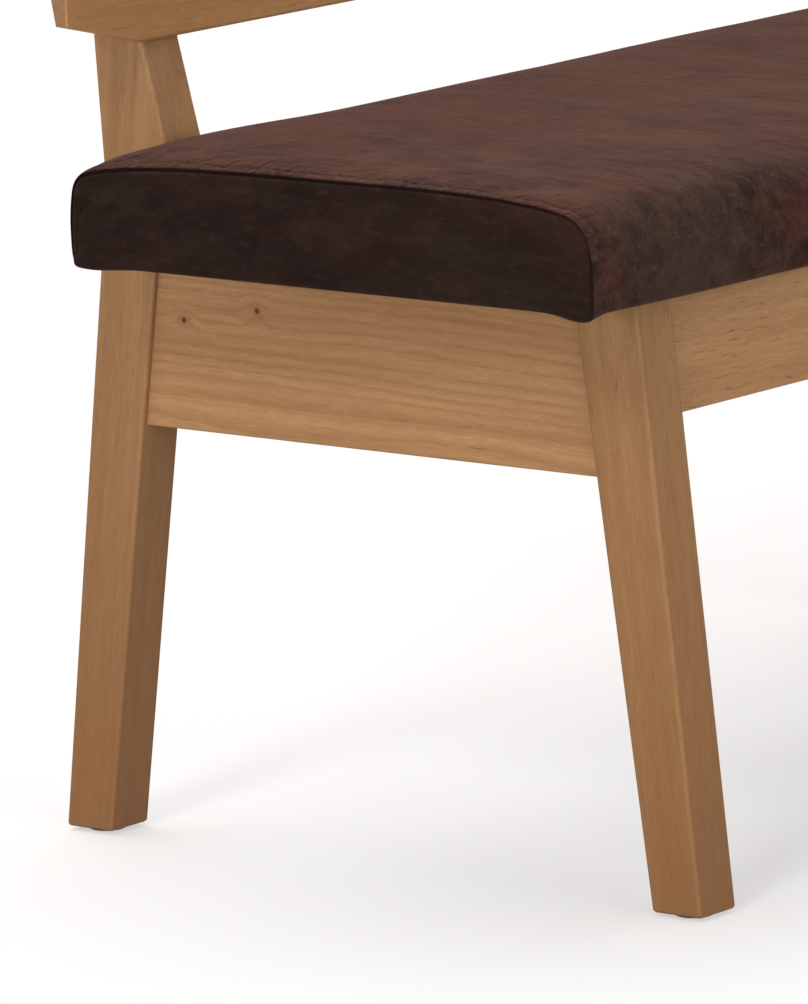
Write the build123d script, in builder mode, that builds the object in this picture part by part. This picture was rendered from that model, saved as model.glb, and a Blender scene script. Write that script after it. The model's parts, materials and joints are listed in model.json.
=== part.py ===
from build123d import *
from math import cos, pi, sin, sqrt
import os

os.makedirs("parts", exist_ok=True)

# An L-shaped corner bench: two wings with upholstered seats on oak trestles, and a reclined
# backrest board on each wing, mitred in the outer corner. Millimetres, +Z up from the floor.
# Places in a wing are named along it, back (zero at the rear of the back feet, negative to the
# front) and up from the floor.

# Plan of the bench
trestle_pitch = 900
seat_overhang = 101
bench_depth = 1500
seat_to_back_line = 105
corner_leg_offset = 208
cushion_joint_gap = 1

# Trestle legs: planks of one thickness, tapered and splayed as seen from the wing's end
leg_thickness = 40
foot_depth = 40
stance_depth = 541.5
seat_underside = 419
front_leg_top_front = 497
front_leg_top_back = 445.5
back_knee_rise = 34
back_knee_inset = 51.5
front_knee_rise = 68
front_knee_inset = 105
post_turn_rise = 204
post_top_drop = 60
post_depth = 33
leg_arris = 2.5
foot_arris = 1.5
glide_height = 3
glide_radius = 13

# Backrest board: reclined, with an upright bevel low on its front and a cut corner at its open end
rest_start_rise = 136
rest_start_inset = 87
rest_height = 308
rest_thickness = 24.5
rest_lip_thickness = 6.5
rest_recline_share = 0.2
rest_overhang = 85
rest_cut_length = 82
rest_cut_height = 20
rest_arris = 2.5
rest_top_arris = 6
rest_end_arris = 1.2

# Aprons and rails
apron_thickness = 22
cross_apron_height = 129
front_apron_height = 90
rail_height = 70
apron_recess = 5
front_apron_inset = 496
rear_rail_inset = 130
short_cross_rail_offset = 570
apron_arris = 1.5
tenon_thickness = 10
tenon_shoulder = 12
tenon_length = 18
stub_tenon_length = 12
rail_tenon_length = 8
tenon_clearance = 0.15
mortise_wall = 4

# Seat: cover hem and lining under a board, foam over and around it, and the sewn cover outside
cover_thickness = 1.2
hem_width = 26
hem_clearance = 0.3
board_thickness = 18
board_inset = 12
foam_clearance = 0.3
seat_front_overhang = 42.5
seat_back_rise = 71
seat_crown_rise = 77
seat_front_rise = 68
seat_draw_in = 2.5
seat_low_radius = 8
seat_back_radius = 20
seat_front_radius = 28
seat_end_roll = 9
seat_roll_steps = 2

# Fastening
block_length = 40
block_depth = 40
block_height = 28
block_front_inset = 440
screw_radius = 2.3
screw_sides = 8
screw_head_radius = 4.6
screw_head_height = 3
screw_dome_share = 0.7
screw_clearance = 0.3
pilot_clearance = 0.1
lining_hole_clearance = 1.2
seat_screw_grip = 14
rest_screw_grip = 16
rest_screw_height_shares = (0.31, 0.68)
dowel_sides = 12
dowel_radius = 4
dowel_length = 18
dowel_clearance = 0.1
dowel_height_shares = (0.28, 0.5, 0.72)
bracket_leaf = 34
bracket_height = 64
bracket_thickness = 3
bracket_screw_place = 20
bracket_screw_spacing = 36
bracket_screw_length = 16
cut_overrun = 20

# Sizes that follow from the ones above
seat_length = trestle_pitch + trestle_pitch + leg_thickness + seat_overhang + seat_overhang
bench_length = seat_length + seat_to_back_line
seat_front_inset = front_leg_top_front + seat_front_overhang
board_bottom = seat_underside + cover_thickness
board_top = board_bottom + board_thickness
back_knee_height = seat_underside + back_knee_rise
front_knee_height = seat_underside + front_knee_rise
post_turn_height = seat_underside + post_turn_rise
rest_start_height = seat_underside + rest_start_rise
rest_top_height = rest_start_height + rest_height
post_top_height = rest_top_height - post_top_drop
rest_screw_heights = [rest_start_height + rest_height * share for share in rest_screw_height_shares]
dowel_heights = [rest_start_height + rest_height * share for share in dowel_height_shares]
normal_share = 1 / sqrt(1 + rest_recline_share**2)
half_share = 0.5

# A wing is a plane on the floor: local X runs along the wing and local Y to its back. The long
# wing starts at the outer face of its end trestle, the short wing in the bench's outer corner.
corner = Vector(bench_length * half_share, bench_depth * half_share, 0)
long_wing = Plane(
    origin=(-bench_length * half_share + seat_overhang, bench_depth * half_share, 0),
    x_dir=(1, 0, 0),
    z_dir=(0, 0, 1),
)
short_wing = Plane(origin=corner, x_dir=(0, -1, 0), z_dir=(0, 0, 1))
mitre_plane = Plane(origin=corner, x_dir=(0, 0, 1), z_dir=(-1, 1, 0))

# Where each leg pair and its cross apron start along a wing
long_places = (0, trestle_pitch, trestle_pitch + trestle_pitch)
short_end_place = bench_depth - seat_overhang - leg_thickness
far_recess = leg_thickness - apron_recess - apron_thickness
middle_recess = (leg_thickness - apron_thickness) * half_share
long_apron_places = (
    long_places[0] + apron_recess,
    long_places[1] + middle_recess,
    long_places[2] + far_recess,
)
short_apron_place = short_end_place + far_recess
tie_rail_place = corner_leg_offset + middle_recess
corner_in_long = bench_length - seat_overhang


def side_plane(wing, along):
    """Upright plane across a wing: local X runs to the back, local Y up, and it faces along the wing."""
    origin = wing.from_local_coords(Vector(along, 0, 0))
    return Plane(origin=origin, x_dir=wing.y_dir, z_dir=wing.x_dir)


def front_plane(wing):
    """Upright plane on a wing's back line that faces the front: local X along the wing, local Y up."""
    return Plane(origin=wing.origin, x_dir=wing.x_dir, z_dir=-wing.y_dir)


def spot(wing, along, back, up, outward):
    """A plane at a place in a wing that faces outward, for a hole or a screw."""
    return Plane(origin=wing.from_local_coords(Vector(along, back, up)), z_dir=outward)


def on_line(low, high, height):
    """Where the straight edge from low to high, both (back, up), stands at a height."""
    share = (height - low[1]) / (high[1] - low[1])
    return low[0] + (high[0] - low[0]) * share


def rest_back(height):
    """Where the back face of the backrest board, and the post's seat for it, stand at a height."""
    return -rest_start_inset + (height - rest_start_height) * rest_recline_share


def grown(span, margin):
    """A pair of places moved apart by a margin at each end."""
    return (span[0] - margin, span[1] + margin)


def middle(span):
    """The place halfway between a pair of places."""
    return (span[0] + span[1]) * half_share


def block(wing, along, back, up, mode=Mode.ADD):
    """Adds to, or cuts from, the piece being built a block between three pairs of places in a wing."""
    with BuildSketch(wing.offset(up[0])) as plan:
        with Locations((middle(along), middle(back))):
            Rectangle(along[1] - along[0], back[1] - back[0])
    extrude(plan.sketch, amount=up[1] - up[0], mode=mode)


def mortise(wing, along, back, up):
    """Cuts the pocket of a tenon from the piece being built, with the tenon's clearance all round."""
    pocket = [grown(span, tenon_clearance) for span in (along, back, up)]
    block(wing, *pocket, mode=Mode.SUBTRACT)


def faceted_hole(planes, radius, depth, sides=screw_sides):
    """Cuts a hole with the few sides of a screw into the piece being built, from each of some planes."""
    for plane in planes:
        with BuildSketch(plane) as outline:
            RegularPolygon(radius, sides)
        extrude(outline.sketch, amount=-depth, mode=Mode.SUBTRACT)


def faceted_cone(plane, low_radius, low_height, top_radius, top_height, mode=Mode.ADD):
    """Adds or cuts a cone with the few sides of a screw, between two heights over a plane."""
    with BuildSketch(plane.offset(low_height)) as low:
        RegularPolygon(low_radius, screw_sides)
    with BuildSketch(plane.offset(top_height)) as top:
        RegularPolygon(top_radius, screw_sides)
    loft([low.sketch, top.sketch], mode=mode)


def save(piece, name):
    """Labels a finished piece and writes its STEP file."""
    piece.part.label = name
    export_step(piece.part, f"parts/{name}.step")


# Leg outlines, as (back, up)
front_foot_front = (-stance_depth, glide_height)
front_foot_back = (-stance_depth + foot_depth, glide_height)
front_top_front = (-front_leg_top_front, seat_underside)
front_top_back = (-front_leg_top_back, seat_underside)
front_leg_outline = (front_foot_front, front_foot_back, front_top_back, front_top_front)
back_foot_front = (-foot_depth, glide_height)
back_foot_back = (0, glide_height)
back_rear_knee = (-back_knee_inset, back_knee_height)
back_front_knee = (-front_knee_inset, front_knee_height)
back_leg_outline = (
    back_foot_front,
    back_foot_back,
    back_rear_knee,
    (rest_back(post_turn_height) + post_depth, post_turn_height),
    (rest_back(post_top_height) + post_depth, post_top_height),
    (rest_back(post_top_height), post_top_height),
    (rest_back(rest_start_height), rest_start_height),
    back_front_knee,
)

# Sections of the aprons and rails, and of their tenons, as pairs of places
front_apron_back = (-front_apron_inset, -front_apron_inset + apron_thickness)
front_apron_up = (seat_underside - front_apron_height, seat_underside)
cross_apron_up = (seat_underside - cross_apron_height, seat_underside)
rail_back = (-rear_rail_inset - apron_thickness, -rear_rail_inset)
rail_up = (seat_underside - rail_height, seat_underside)
tenon_inset = (apron_thickness - tenon_thickness) * half_share
front_tenon_back = grown(front_apron_back, -tenon_inset)
front_tenon_up = grown(front_apron_up, -tenon_shoulder)
cross_tenon_up = grown(cross_apron_up, -tenon_shoulder)
rail_tenon_back = grown(rail_back, -tenon_inset)
rail_tenon_up = grown(rail_up, -tenon_shoulder)
cross_tenon_front = front_tenon_back[1] + mortise_wall
cross_tenon_rear = on_line(back_foot_front, back_front_knee, cross_apron_up[0]) + tenon_length
tie_tenon_rear = on_line(back_foot_front, back_front_knee, rail_up[0]) + tenon_length
tie_rail_front = long_apron_places[2] + apron_thickness - corner_in_long
tie_tenon_along = grown((tie_rail_place, tie_rail_place + apron_thickness), -tenon_inset)

# Screws through the posts into the backrest boards
post_normal_depth = post_depth * normal_share
rest_screw_length = post_normal_depth + rest_screw_grip


def rest_screw_planes(wing, place):
    """Planes on a post's rear face that face out of it, one for each screw into the backrest board."""
    outward = wing.y_dir - wing.z_dir * rest_recline_share
    along = place + leg_thickness * half_share
    return [spot(wing, along, rest_back(up) + post_depth, up, outward) for up in rest_screw_heights]


def make_leg(wing, place, outline, mortises, screw_planes=()):
    """A leg sawn to its outline, with rounded arrises, mortises and the holes of the backrest screws."""
    with BuildPart() as leg:
        with BuildSketch(side_plane(wing, place)):
            with BuildLine():
                Polyline(*outline, close=True)
            make_face()
        extrude(amount=leg_thickness)
        chamfer(leg.faces().sort_by(Axis.Z)[0].edges(), foot_arris)
        rising_edges = leg.edges().filter_by(lambda edge: abs(edge.tangent_at(0).Z) > half_share)
        fillet(rising_edges, leg_arris)
        for pocket in mortises:
            mortise(wing, *pocket)
        faceted_hole(screw_planes, screw_radius + screw_clearance, post_normal_depth + cut_overrun)
        for plane in screw_planes:
            faceted_cone(
                plane,
                screw_radius + screw_clearance,
                -screw_head_height,
                screw_head_radius + screw_clearance,
                0,
                Mode.SUBTRACT,
            )
    return leg


def cross_mortises(apron_place):
    """The pockets of a cross apron's tenons in its front and in its back leg."""
    along = grown((apron_place, apron_place + apron_thickness), -tenon_inset)
    front_pocket = (along, (cross_tenon_front, cross_tenon_front + foot_depth), cross_tenon_up)
    rear_pocket = (along, (cross_tenon_rear - foot_depth, cross_tenon_rear), cross_tenon_up)
    return front_pocket, rear_pocket


def near_mortise(face, length, back, up):
    """A pocket that opens towards the start of the wing, in a face that a rail runs up to."""
    return ((face - cut_overrun, face + length), back, up)


def far_mortise(face, length, back, up):
    """A pocket that opens towards the end of the wing, in a face that a rail starts from."""
    return ((face - length, face + cut_overrun), back, up)


# Legs of the long wing
trestle_names = ("end", "middle", "corner")
for index, place in enumerate(long_places):
    front_pocket, rear_pocket = cross_mortises(long_apron_places[index])
    pockets = [front_pocket]
    if index > 0:
        pockets.append(near_mortise(place, stub_tenon_length, front_tenon_back, front_tenon_up))
    if index < len(long_places) - 1:
        far_face = place + leg_thickness
        pockets.append(far_mortise(far_face, stub_tenon_length, front_tenon_back, front_tenon_up))
    screws = rest_screw_planes(long_wing, place)
    front_leg = make_leg(long_wing, place, front_leg_outline, pockets)
    back_leg = make_leg(long_wing, place, back_leg_outline, [rear_pocket], screws)
    save(front_leg, f"long_{trestle_names[index]}_front_leg")
    save(back_leg, f"long_{trestle_names[index]}_back_leg")

# Legs of the short wing: a trestle at its open end, and a back leg near the corner
front_pocket, rear_pocket = cross_mortises(short_apron_place)
stub_pocket = near_mortise(short_end_place, stub_tenon_length, front_tenon_back, front_tenon_up)
screws = rest_screw_planes(short_wing, short_end_place)
front_leg = make_leg(short_wing, short_end_place, front_leg_outline, [front_pocket, stub_pocket])
back_leg = make_leg(short_wing, short_end_place, back_leg_outline, [rear_pocket], screws)
save(front_leg, "short_end_front_leg")
save(back_leg, "short_end_back_leg")
tie_pocket = (tie_tenon_along, (tie_tenon_rear - foot_depth, tie_tenon_rear), rail_tenon_up)
screws = rest_screw_planes(short_wing, corner_leg_offset)
corner_leg = make_leg(short_wing, corner_leg_offset, back_leg_outline, [tie_pocket], screws)
save(corner_leg, "short_corner_back_leg")


def round_low_arrises(piece):
    """Rounds the two long lower edges of an apron or rail."""
    low_edges = piece.faces().sort_by(Axis.Z)[0].edges().sort_by(SortBy.LENGTH)
    fillet(low_edges[-2:], apron_arris)


def make_cross_apron(wing, place, pockets):
    """A cross apron between the slanted edges of two legs, with a tenon into each."""
    low, high = cross_apron_up
    along = grown((place, place + apron_thickness), -tenon_inset)
    with BuildPart() as apron:
        with BuildSketch(side_plane(wing, place)):
            with BuildLine():
                Polyline(
                    (on_line(front_foot_back, front_top_back, low), low),
                    (on_line(back_foot_front, back_front_knee, low), low),
                    (on_line(back_foot_front, back_front_knee, high), high),
                    (on_line(front_foot_back, front_top_back, high), high),
                    close=True,
                )
            make_face()
        extrude(amount=apron_thickness)
        round_low_arrises(apron)
        block(wing, along, (cross_tenon_front, cross_tenon_rear), cross_tenon_up)
        for pocket in pockets:
            mortise(wing, *pocket)
    return apron


# Cross aprons, with the pockets of the rear rails and of the tie rail in their faces
far_faces = [place + apron_thickness for place in long_apron_places]
tie_tenon_back = (-tie_tenon_along[1], -tie_tenon_along[0])
long_apron_pockets = (
    [far_mortise(far_faces[0], rail_tenon_length, rail_tenon_back, rail_tenon_up)],
    [
        near_mortise(long_apron_places[1], rail_tenon_length, rail_tenon_back, rail_tenon_up),
        far_mortise(far_faces[1], rail_tenon_length, rail_tenon_back, rail_tenon_up),
    ],
    [
        near_mortise(long_apron_places[2], rail_tenon_length, rail_tenon_back, rail_tenon_up),
        far_mortise(far_faces[2], rail_tenon_length, tie_tenon_back, rail_tenon_up),
    ],
)
for index, place in enumerate(long_apron_places):
    apron = make_cross_apron(long_wing, place, long_apron_pockets[index])
    save(apron, f"long_{trestle_names[index]}_apron")
short_apron_pockets = [near_mortise(short_apron_place, rail_tenon_length, rail_tenon_back, rail_tenon_up)]
save(make_cross_apron(short_wing, short_apron_place, short_apron_pockets), "short_end_apron")


# Angle bracket in the corner where the short front apron meets the long one
bracket_start = front_apron_inset
bracket_back = front_apron_back[1]
bracket_up = grown((middle(front_apron_up), middle(front_apron_up)), bracket_height * half_share)
bracket_screw_heights = grown((middle(bracket_up), middle(bracket_up)), bracket_screw_spacing * half_share)
long_leaf_along, short_leaf_along = (bracket_start + bracket_thickness, bracket_start + bracket_screw_place)
long_leaf_back, short_leaf_back = (bracket_back + bracket_screw_place, bracket_back + bracket_thickness)
long_leaf_planes = [
    spot(short_wing, long_leaf_along, long_leaf_back, up, short_wing.x_dir) for up in bracket_screw_heights
]
short_leaf_planes = [
    spot(short_wing, short_leaf_along, short_leaf_back, up, short_wing.y_dir) for up in bracket_screw_heights
]
bracket_screw_planes = long_leaf_planes + short_leaf_planes
bracket_hole_depth = bracket_screw_length + pilot_clearance


def make_rail(wing, along, back, up, tenon, pockets=(), pilot_planes=()):
    """A straight apron or rail with rounded lower arrises, tenons, mortises and pilot holes."""
    with BuildPart() as rail:
        block(wing, along, back, up)
        round_low_arrises(rail)
        block(wing, *tenon)
        for pocket in pockets:
            mortise(wing, *pocket)
        faceted_hole(pilot_planes, screw_radius + pilot_clearance, bracket_hole_depth)
    return rail


# Front aprons between the front legs, and rear rails between the cross aprons, of the long wing
stretch_names = ("outer", "inner")
for index, name in enumerate(stretch_names):
    legs_between = (long_places[index] + leg_thickness, long_places[index + 1])
    tenon = (grown(legs_between, stub_tenon_length), front_tenon_back, front_tenon_up)
    pilots = long_leaf_planes if name == "inner" else ()
    apron = make_rail(long_wing, legs_between, front_apron_back, front_apron_up, tenon, (), pilots)
    save(apron, f"long_front_apron_{name}")
    aprons_between = (far_faces[index], long_apron_places[index + 1])
    tenon = (grown(aprons_between, rail_tenon_length), rail_tenon_back, rail_tenon_up)
    save(make_rail(long_wing, aprons_between, rail_back, rail_up, tenon), f"long_rear_rail_{name}")

# Front apron, rear rail and cross rail of the short wing
cross_rail_along = (short_cross_rail_offset, short_cross_rail_offset + apron_thickness)
cross_rail_tenon_along = grown(cross_rail_along, -tenon_inset)
cross_rail_back = (front_apron_back[1], rail_back[0])
front_span = (front_apron_inset, short_end_place)
front_tenon = ((front_span[0], front_span[1] + stub_tenon_length), front_tenon_back, front_tenon_up)
front_side_pocket = (
    cross_rail_tenon_along,
    (front_apron_back[1] - rail_tenon_length, front_apron_back[1] + cut_overrun),
    rail_tenon_up,
)
front_block = (front_span, front_apron_back, front_apron_up)
short_front_apron = make_rail(short_wing, *front_block, front_tenon, [front_side_pocket], short_leaf_planes)
save(short_front_apron, "short_front_apron")
rear_span = (tie_rail_place + apron_thickness, short_apron_place)
rear_tenon = (grown(rear_span, rail_tenon_length), rail_tenon_back, rail_tenon_up)
rear_side_pocket = (
    cross_rail_tenon_along,
    (rail_back[0] - cut_overrun, rail_back[0] + rail_tenon_length),
    rail_tenon_up,
)
short_rear_rail = make_rail(short_wing, rear_span, rail_back, rail_up, rear_tenon, [rear_side_pocket])
save(short_rear_rail, "short_rear_rail")
cross_rail_tenon = (cross_rail_tenon_along, grown(cross_rail_back, rail_tenon_length), rail_tenon_up)
short_cross_rail = make_rail(short_wing, cross_rail_along, cross_rail_back, rail_up, cross_rail_tenon)
save(short_cross_rail, "short_cross_rail")

# Tie rail from the long wing's last trestle to the slanted front edge of the corner back leg
with BuildPart() as corner_tie_rail:
    with BuildSketch(side_plane(short_wing, tie_rail_place)):
        with BuildLine():
            Polyline(
                (tie_rail_front, rail_up[0]),
                (on_line(back_foot_front, back_front_knee, rail_up[0]), rail_up[0]),
                (on_line(back_foot_front, back_front_knee, rail_up[1]), rail_up[1]),
                (tie_rail_front, rail_up[1]),
                close=True,
            )
        make_face()
    extrude(amount=apron_thickness)
    round_low_arrises(corner_tie_rail)
    block(short_wing, tie_tenon_along, (tie_rail_front - rail_tenon_length, tie_tenon_rear), rail_tenon_up)
    mortise(short_wing, *far_mortise(rear_span[0], rail_tenon_length, rail_tenon_back, rail_tenon_up))
save(corner_tie_rail, "corner_tie_rail")


# Backrest boards
rest_lip_front = rest_back(rest_start_height) - rest_lip_thickness
rest_bevel_height = rest_start_height + (rest_thickness - rest_lip_thickness) / rest_recline_share
mitre_dowel_places = [rest_back(up) - rest_thickness * half_share for up in dowel_heights]
mitre_dowel_spots = [
    corner + Vector(place, place, up) for place, up in zip(mitre_dowel_places, dowel_heights)
]


def make_backrest(wing, along, open_end, posts, keep):
    """A reclined board with one cut lower corner at its open end and a mitre at the other."""
    towards = 1 if open_end < middle(along) else -1
    outward = mitre_plane.z_dir * (-1 if keep == Keep.TOP else 1)
    with BuildPart() as rest:
        with BuildSketch(side_plane(wing, along[0])):
            with BuildLine():
                Polyline(
                    (rest_back(rest_start_height), rest_start_height),
                    (rest_back(rest_top_height), rest_top_height),
                    (rest_back(rest_top_height) - rest_thickness, rest_top_height),
                    (rest_lip_front, rest_bevel_height),
                    (rest_lip_front, rest_start_height),
                    close=True,
                )
            make_face()
        extrude(amount=along[1] - along[0])
        long_edges = rest.edges().filter_by(Axis(wing.origin, wing.x_dir)).sort_by(Axis.Z)
        fillet(long_edges[:-2], rest_arris)
        fillet(rest.faces().sort_by(Axis.Z)[-1].edges().sort_by(SortBy.LENGTH)[-2:], rest_top_arris)
        with BuildSketch(front_plane(wing)):
            with BuildLine():
                Polyline(
                    (open_end - towards * cut_overrun, rest_start_height - cut_overrun),
                    (open_end - towards * cut_overrun, rest_start_height + rest_cut_height),
                    (open_end, rest_start_height + rest_cut_height),
                    (open_end + towards * rest_cut_length, rest_start_height),
                    (open_end + towards * rest_cut_length, rest_start_height - cut_overrun),
                    close=True,
                )
            make_face()
        extrude(amount=stance_depth, mode=Mode.SUBTRACT)
        chamfer(rest.faces().sort_by(Axis(wing.origin, wing.x_dir * -towards))[-1].edges(), rest_end_arris)
        split(bisect_by=mitre_plane, keep=keep)
        for place in posts:
            planes = [plane.offset(-post_normal_depth) for plane in rest_screw_planes(wing, place)]
            faceted_hole(planes, screw_radius + pilot_clearance, rest_screw_grip + pilot_clearance)
        dowel_planes = [Plane(origin=point, z_dir=outward) for point in mitre_dowel_spots]
        dowel_depth = dowel_length * half_share + dowel_clearance
        faceted_hole(dowel_planes, dowel_radius + dowel_clearance, dowel_depth, dowel_sides)
    return rest


long_rest_along = (-rest_overhang, corner_in_long)
short_rest_end = bench_depth - seat_overhang + rest_overhang
short_posts = (corner_leg_offset, short_end_place)
long_backrest = make_backrest(long_wing, long_rest_along, long_rest_along[0], long_places, Keep.TOP)
short_backrest = make_backrest(short_wing, (0, short_rest_end), short_rest_end, short_posts, Keep.BOTTOM)
save(long_backrest, "long_backrest")
save(short_backrest, "short_backrest")

with BuildPart() as mitre_dowels:
    for point in mitre_dowel_spots:
        with BuildSketch(Plane(origin=point, z_dir=mitre_plane.z_dir)):
            RegularPolygon(dowel_radius, dowel_sides)
        extrude(amount=dowel_length * half_share, both=True)
save(mitre_dowels, "mitre_dowels")


# Seats: each is its wing and the pair of places where its cushion starts and ends
long_seat_along = (-seat_overhang, seat_length - seat_overhang)
short_seat_along = (seat_front_inset + cushion_joint_gap, bench_depth)
seat_back = (-seat_front_inset, -seat_to_back_line)
board_back = grown(seat_back, -board_inset)


def bend(start, middle_point, end, plain):
    """A corner or side of a cushion's outline: an arc, or on a plain form inside it a straight line."""
    if plain:
        Line(start, end)
    else:
        ThreePointArc(start, middle_point, end)


def cushion_section(wing, along, inset, plain):
    """The upright face of a cushion across its wing: crowned top, drawn-in front and back, round corners."""
    front = -seat_front_inset + inset
    rear = -seat_to_back_line - inset
    low = seat_underside + inset
    rear_top = seat_underside + seat_back_rise - inset
    front_top = seat_underside + seat_front_rise - inset
    low_bend = low + seat_low_radius
    corner_share = 1 - sqrt(half_share)
    low_turn = seat_low_radius * corner_share
    rear_turn = seat_back_radius * corner_share
    front_turn = seat_front_radius * corner_share
    front_bend = front + seat_draw_in
    rear_bend = rear - seat_draw_in
    front_shoulder = front_top - seat_front_radius
    rear_shoulder = rear_top - seat_back_radius
    rear_low = (rear_bend - seat_low_radius, low)
    rear_crown = (rear_bend - seat_back_radius, rear_top)
    front_crown = (front_bend + seat_front_radius, front_top)
    front_low = (front_bend + seat_low_radius, low)
    rear_middle = (rear, middle((low_bend, rear_shoulder)))
    front_middle = (front, middle((low_bend, front_shoulder)))
    crown = (middle((front, rear)), seat_underside + seat_crown_rise - inset)
    with BuildSketch(side_plane(wing, along)) as section:
        with BuildLine():
            Line(front_low, rear_low)
            bend(rear_low, (rear_bend - low_turn, low + low_turn), (rear_bend, low_bend), plain)
            bend((rear_bend, low_bend), rear_middle, (rear_bend, rear_shoulder), plain)
            ThreePointArc(
                (rear_bend, rear_shoulder), (rear_bend - rear_turn, rear_top - rear_turn), rear_crown
            )
            ThreePointArc(rear_crown, crown, front_crown)
            ThreePointArc(
                front_crown, (front_bend + front_turn, front_top - front_turn), (front_bend, front_shoulder)
            )
            bend((front_bend, front_shoulder), front_middle, (front_bend, low_bend), plain)
            bend((front_bend, low_bend), (front_bend + low_turn, low + low_turn), front_low, plain)
        make_face()
    return section.sketch


def cushion_form(wing, along, inset, plain=False):
    """A whole cushion as a loft along its wing, its ends rolled over in a quarter round of a few steps."""
    roll_steps = 1 if plain else seat_roll_steps
    steps = [step * pi * half_share / roll_steps for step in range(roll_steps + 1)]
    rolls = [(seat_end_roll * (1 - cos(turn)), seat_end_roll * (1 - sin(turn))) for turn in steps]
    near = [(along[0] + inset + distance, inset + roll) for distance, roll in rolls]
    far = [(along[1] - inset - distance, inset + roll) for distance, roll in reversed(rolls)]
    sections = [cushion_section(wing, place, drawn, plain) for place, drawn in near + far]
    with BuildPart() as form:
        loft(sections, ruled=True)
    return form.part


def make_cover(wing, along):
    """The sewn cover: a thin shell around foam and board, its hem turned under the board."""
    opening = grown(along, -hem_width), grown(seat_back, -hem_width)
    with BuildPart() as cover:
        add(cushion_form(wing, along, 0))
        add(cushion_form(wing, along, cover_thickness, plain=True), mode=Mode.SUBTRACT)
        block(wing, *opening, grown((seat_underside, board_bottom), cover_thickness), mode=Mode.SUBTRACT)
    return cover


def make_foam(wing, along):
    """The foam over the seat board and around its edges."""
    pocket = grown(along, foam_clearance - board_inset), grown(board_back, foam_clearance)
    with BuildPart() as foam:
        add(cushion_form(wing, along, cover_thickness + foam_clearance, plain=True))
        block(wing, *pocket, (seat_underside, board_top), mode=Mode.SUBTRACT)
    return foam


# Blocks glued in the frame corners, as (wing, along, back), each with a screw up into the seat board
rear_block_back = (rail_back[0] - block_depth, rail_back[0])
front_block_back = (-block_front_inset, -block_front_inset + block_depth)
rail_block_back = (front_apron_back[1], front_apron_back[1] + block_depth)
block_up = (seat_underside - block_height, seat_underside)
long_block_starts = (far_faces[0], far_faces[1], long_apron_places[2] - block_length)
short_block_start = short_apron_place - block_length
long_blocks = [
    (long_wing, (start, start + block_length), back)
    for start in long_block_starts
    for back in (front_block_back, rear_block_back)
]
cross_rail_block_along = (cross_rail_along[1], cross_rail_along[1] + block_length)
short_blocks = [
    (short_wing, (short_block_start, short_apron_place), front_block_back),
    (short_wing, (short_block_start, short_apron_place), rear_block_back),
    (short_wing, cross_rail_block_along, rail_block_back),
    (short_wing, cross_rail_block_along, rear_block_back),
]


def seat_screw_planes(blocks, up):
    """Planes at one height on the screw axes of some blocks, facing down."""
    return [spot(wing, middle(along), middle(back), up, -wing.z_dir) for wing, along, back in blocks]


seat_screw_spots = seat_screw_planes(long_blocks + short_blocks, block_up[0])
with BuildPart() as seat_blocks:
    for wing, along, back in long_blocks + short_blocks:
        block(wing, along, back, block_up)
    faceted_hole(seat_screw_spots, screw_radius + screw_clearance, block_height)
save(seat_blocks, "seat_blocks")

for name, wing, along, blocks in (
    ("long", long_wing, long_seat_along, long_blocks),
    ("short", short_wing, short_seat_along, short_blocks),
):
    save(make_cover(wing, along), f"{name}_seat_cover")
    save(make_foam(wing, along), f"{name}_seat_foam")
    with BuildPart() as seat_board:
        block(wing, grown(along, -board_inset), board_back, (board_bottom, board_top))
        pilots = seat_screw_planes(blocks, board_bottom)
        faceted_hole(pilots, screw_radius + pilot_clearance, seat_screw_grip + pilot_clearance)
    save(seat_board, f"{name}_seat_board")
    lining_margin = hem_width + hem_clearance
    lining_back = grown(seat_back, -lining_margin)
    with BuildPart() as seat_lining:
        block(wing, grown(along, -lining_margin), lining_back, (seat_underside, board_bottom))
        punctures = seat_screw_planes(blocks, seat_underside)
        faceted_hole(punctures, screw_radius + lining_hole_clearance, cover_thickness)
    save(seat_lining, f"{name}_seat_lining")


def make_screws(planes, length, countersunk):
    """A group of equal screws of few sides, one into each plane, with a sunk or a domed head."""
    with BuildPart() as screws:
        for plane in planes:
            with BuildSketch(plane) as shank:
                RegularPolygon(screw_radius, screw_sides)
            extrude(shank.sketch, amount=-length)
            if countersunk:
                faceted_cone(plane, screw_radius, -screw_head_height, screw_head_radius, 0)
            else:
                dome_radius = screw_head_radius * screw_dome_share
                faceted_cone(plane, screw_head_radius, 0, dome_radius, screw_head_height)
    return screws


rest_screw_spots = [
    plane
    for wing, places in ((long_wing, long_places), (short_wing, short_posts))
    for place in places
    for plane in rest_screw_planes(wing, place)
]
seat_screw_length = block_height + cover_thickness + seat_screw_grip
save(make_screws(seat_screw_spots, seat_screw_length, countersunk=False), "seat_screws")
save(make_screws(rest_screw_spots, rest_screw_length, countersunk=True), "backrest_screws")
save(make_screws(bracket_screw_planes, bracket_screw_length, countersunk=False), "bracket_screws")

with BuildPart() as apron_bracket:
    with BuildSketch(short_wing.offset(bracket_up[0])):
        with BuildLine():
            Polyline(
                (bracket_start, bracket_back),
                (bracket_start + bracket_leaf, bracket_back),
                (bracket_start + bracket_leaf, bracket_back + bracket_thickness),
                (bracket_start + bracket_thickness, bracket_back + bracket_thickness),
                (bracket_start + bracket_thickness, bracket_back + bracket_leaf),
                (bracket_start, bracket_back + bracket_leaf),
                close=True,
            )
        make_face()
    extrude(amount=bracket_up[1] - bracket_up[0])
    faceted_hole(bracket_screw_planes, screw_radius + screw_clearance, bracket_thickness)
save(apron_bracket, "apron_bracket")

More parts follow.
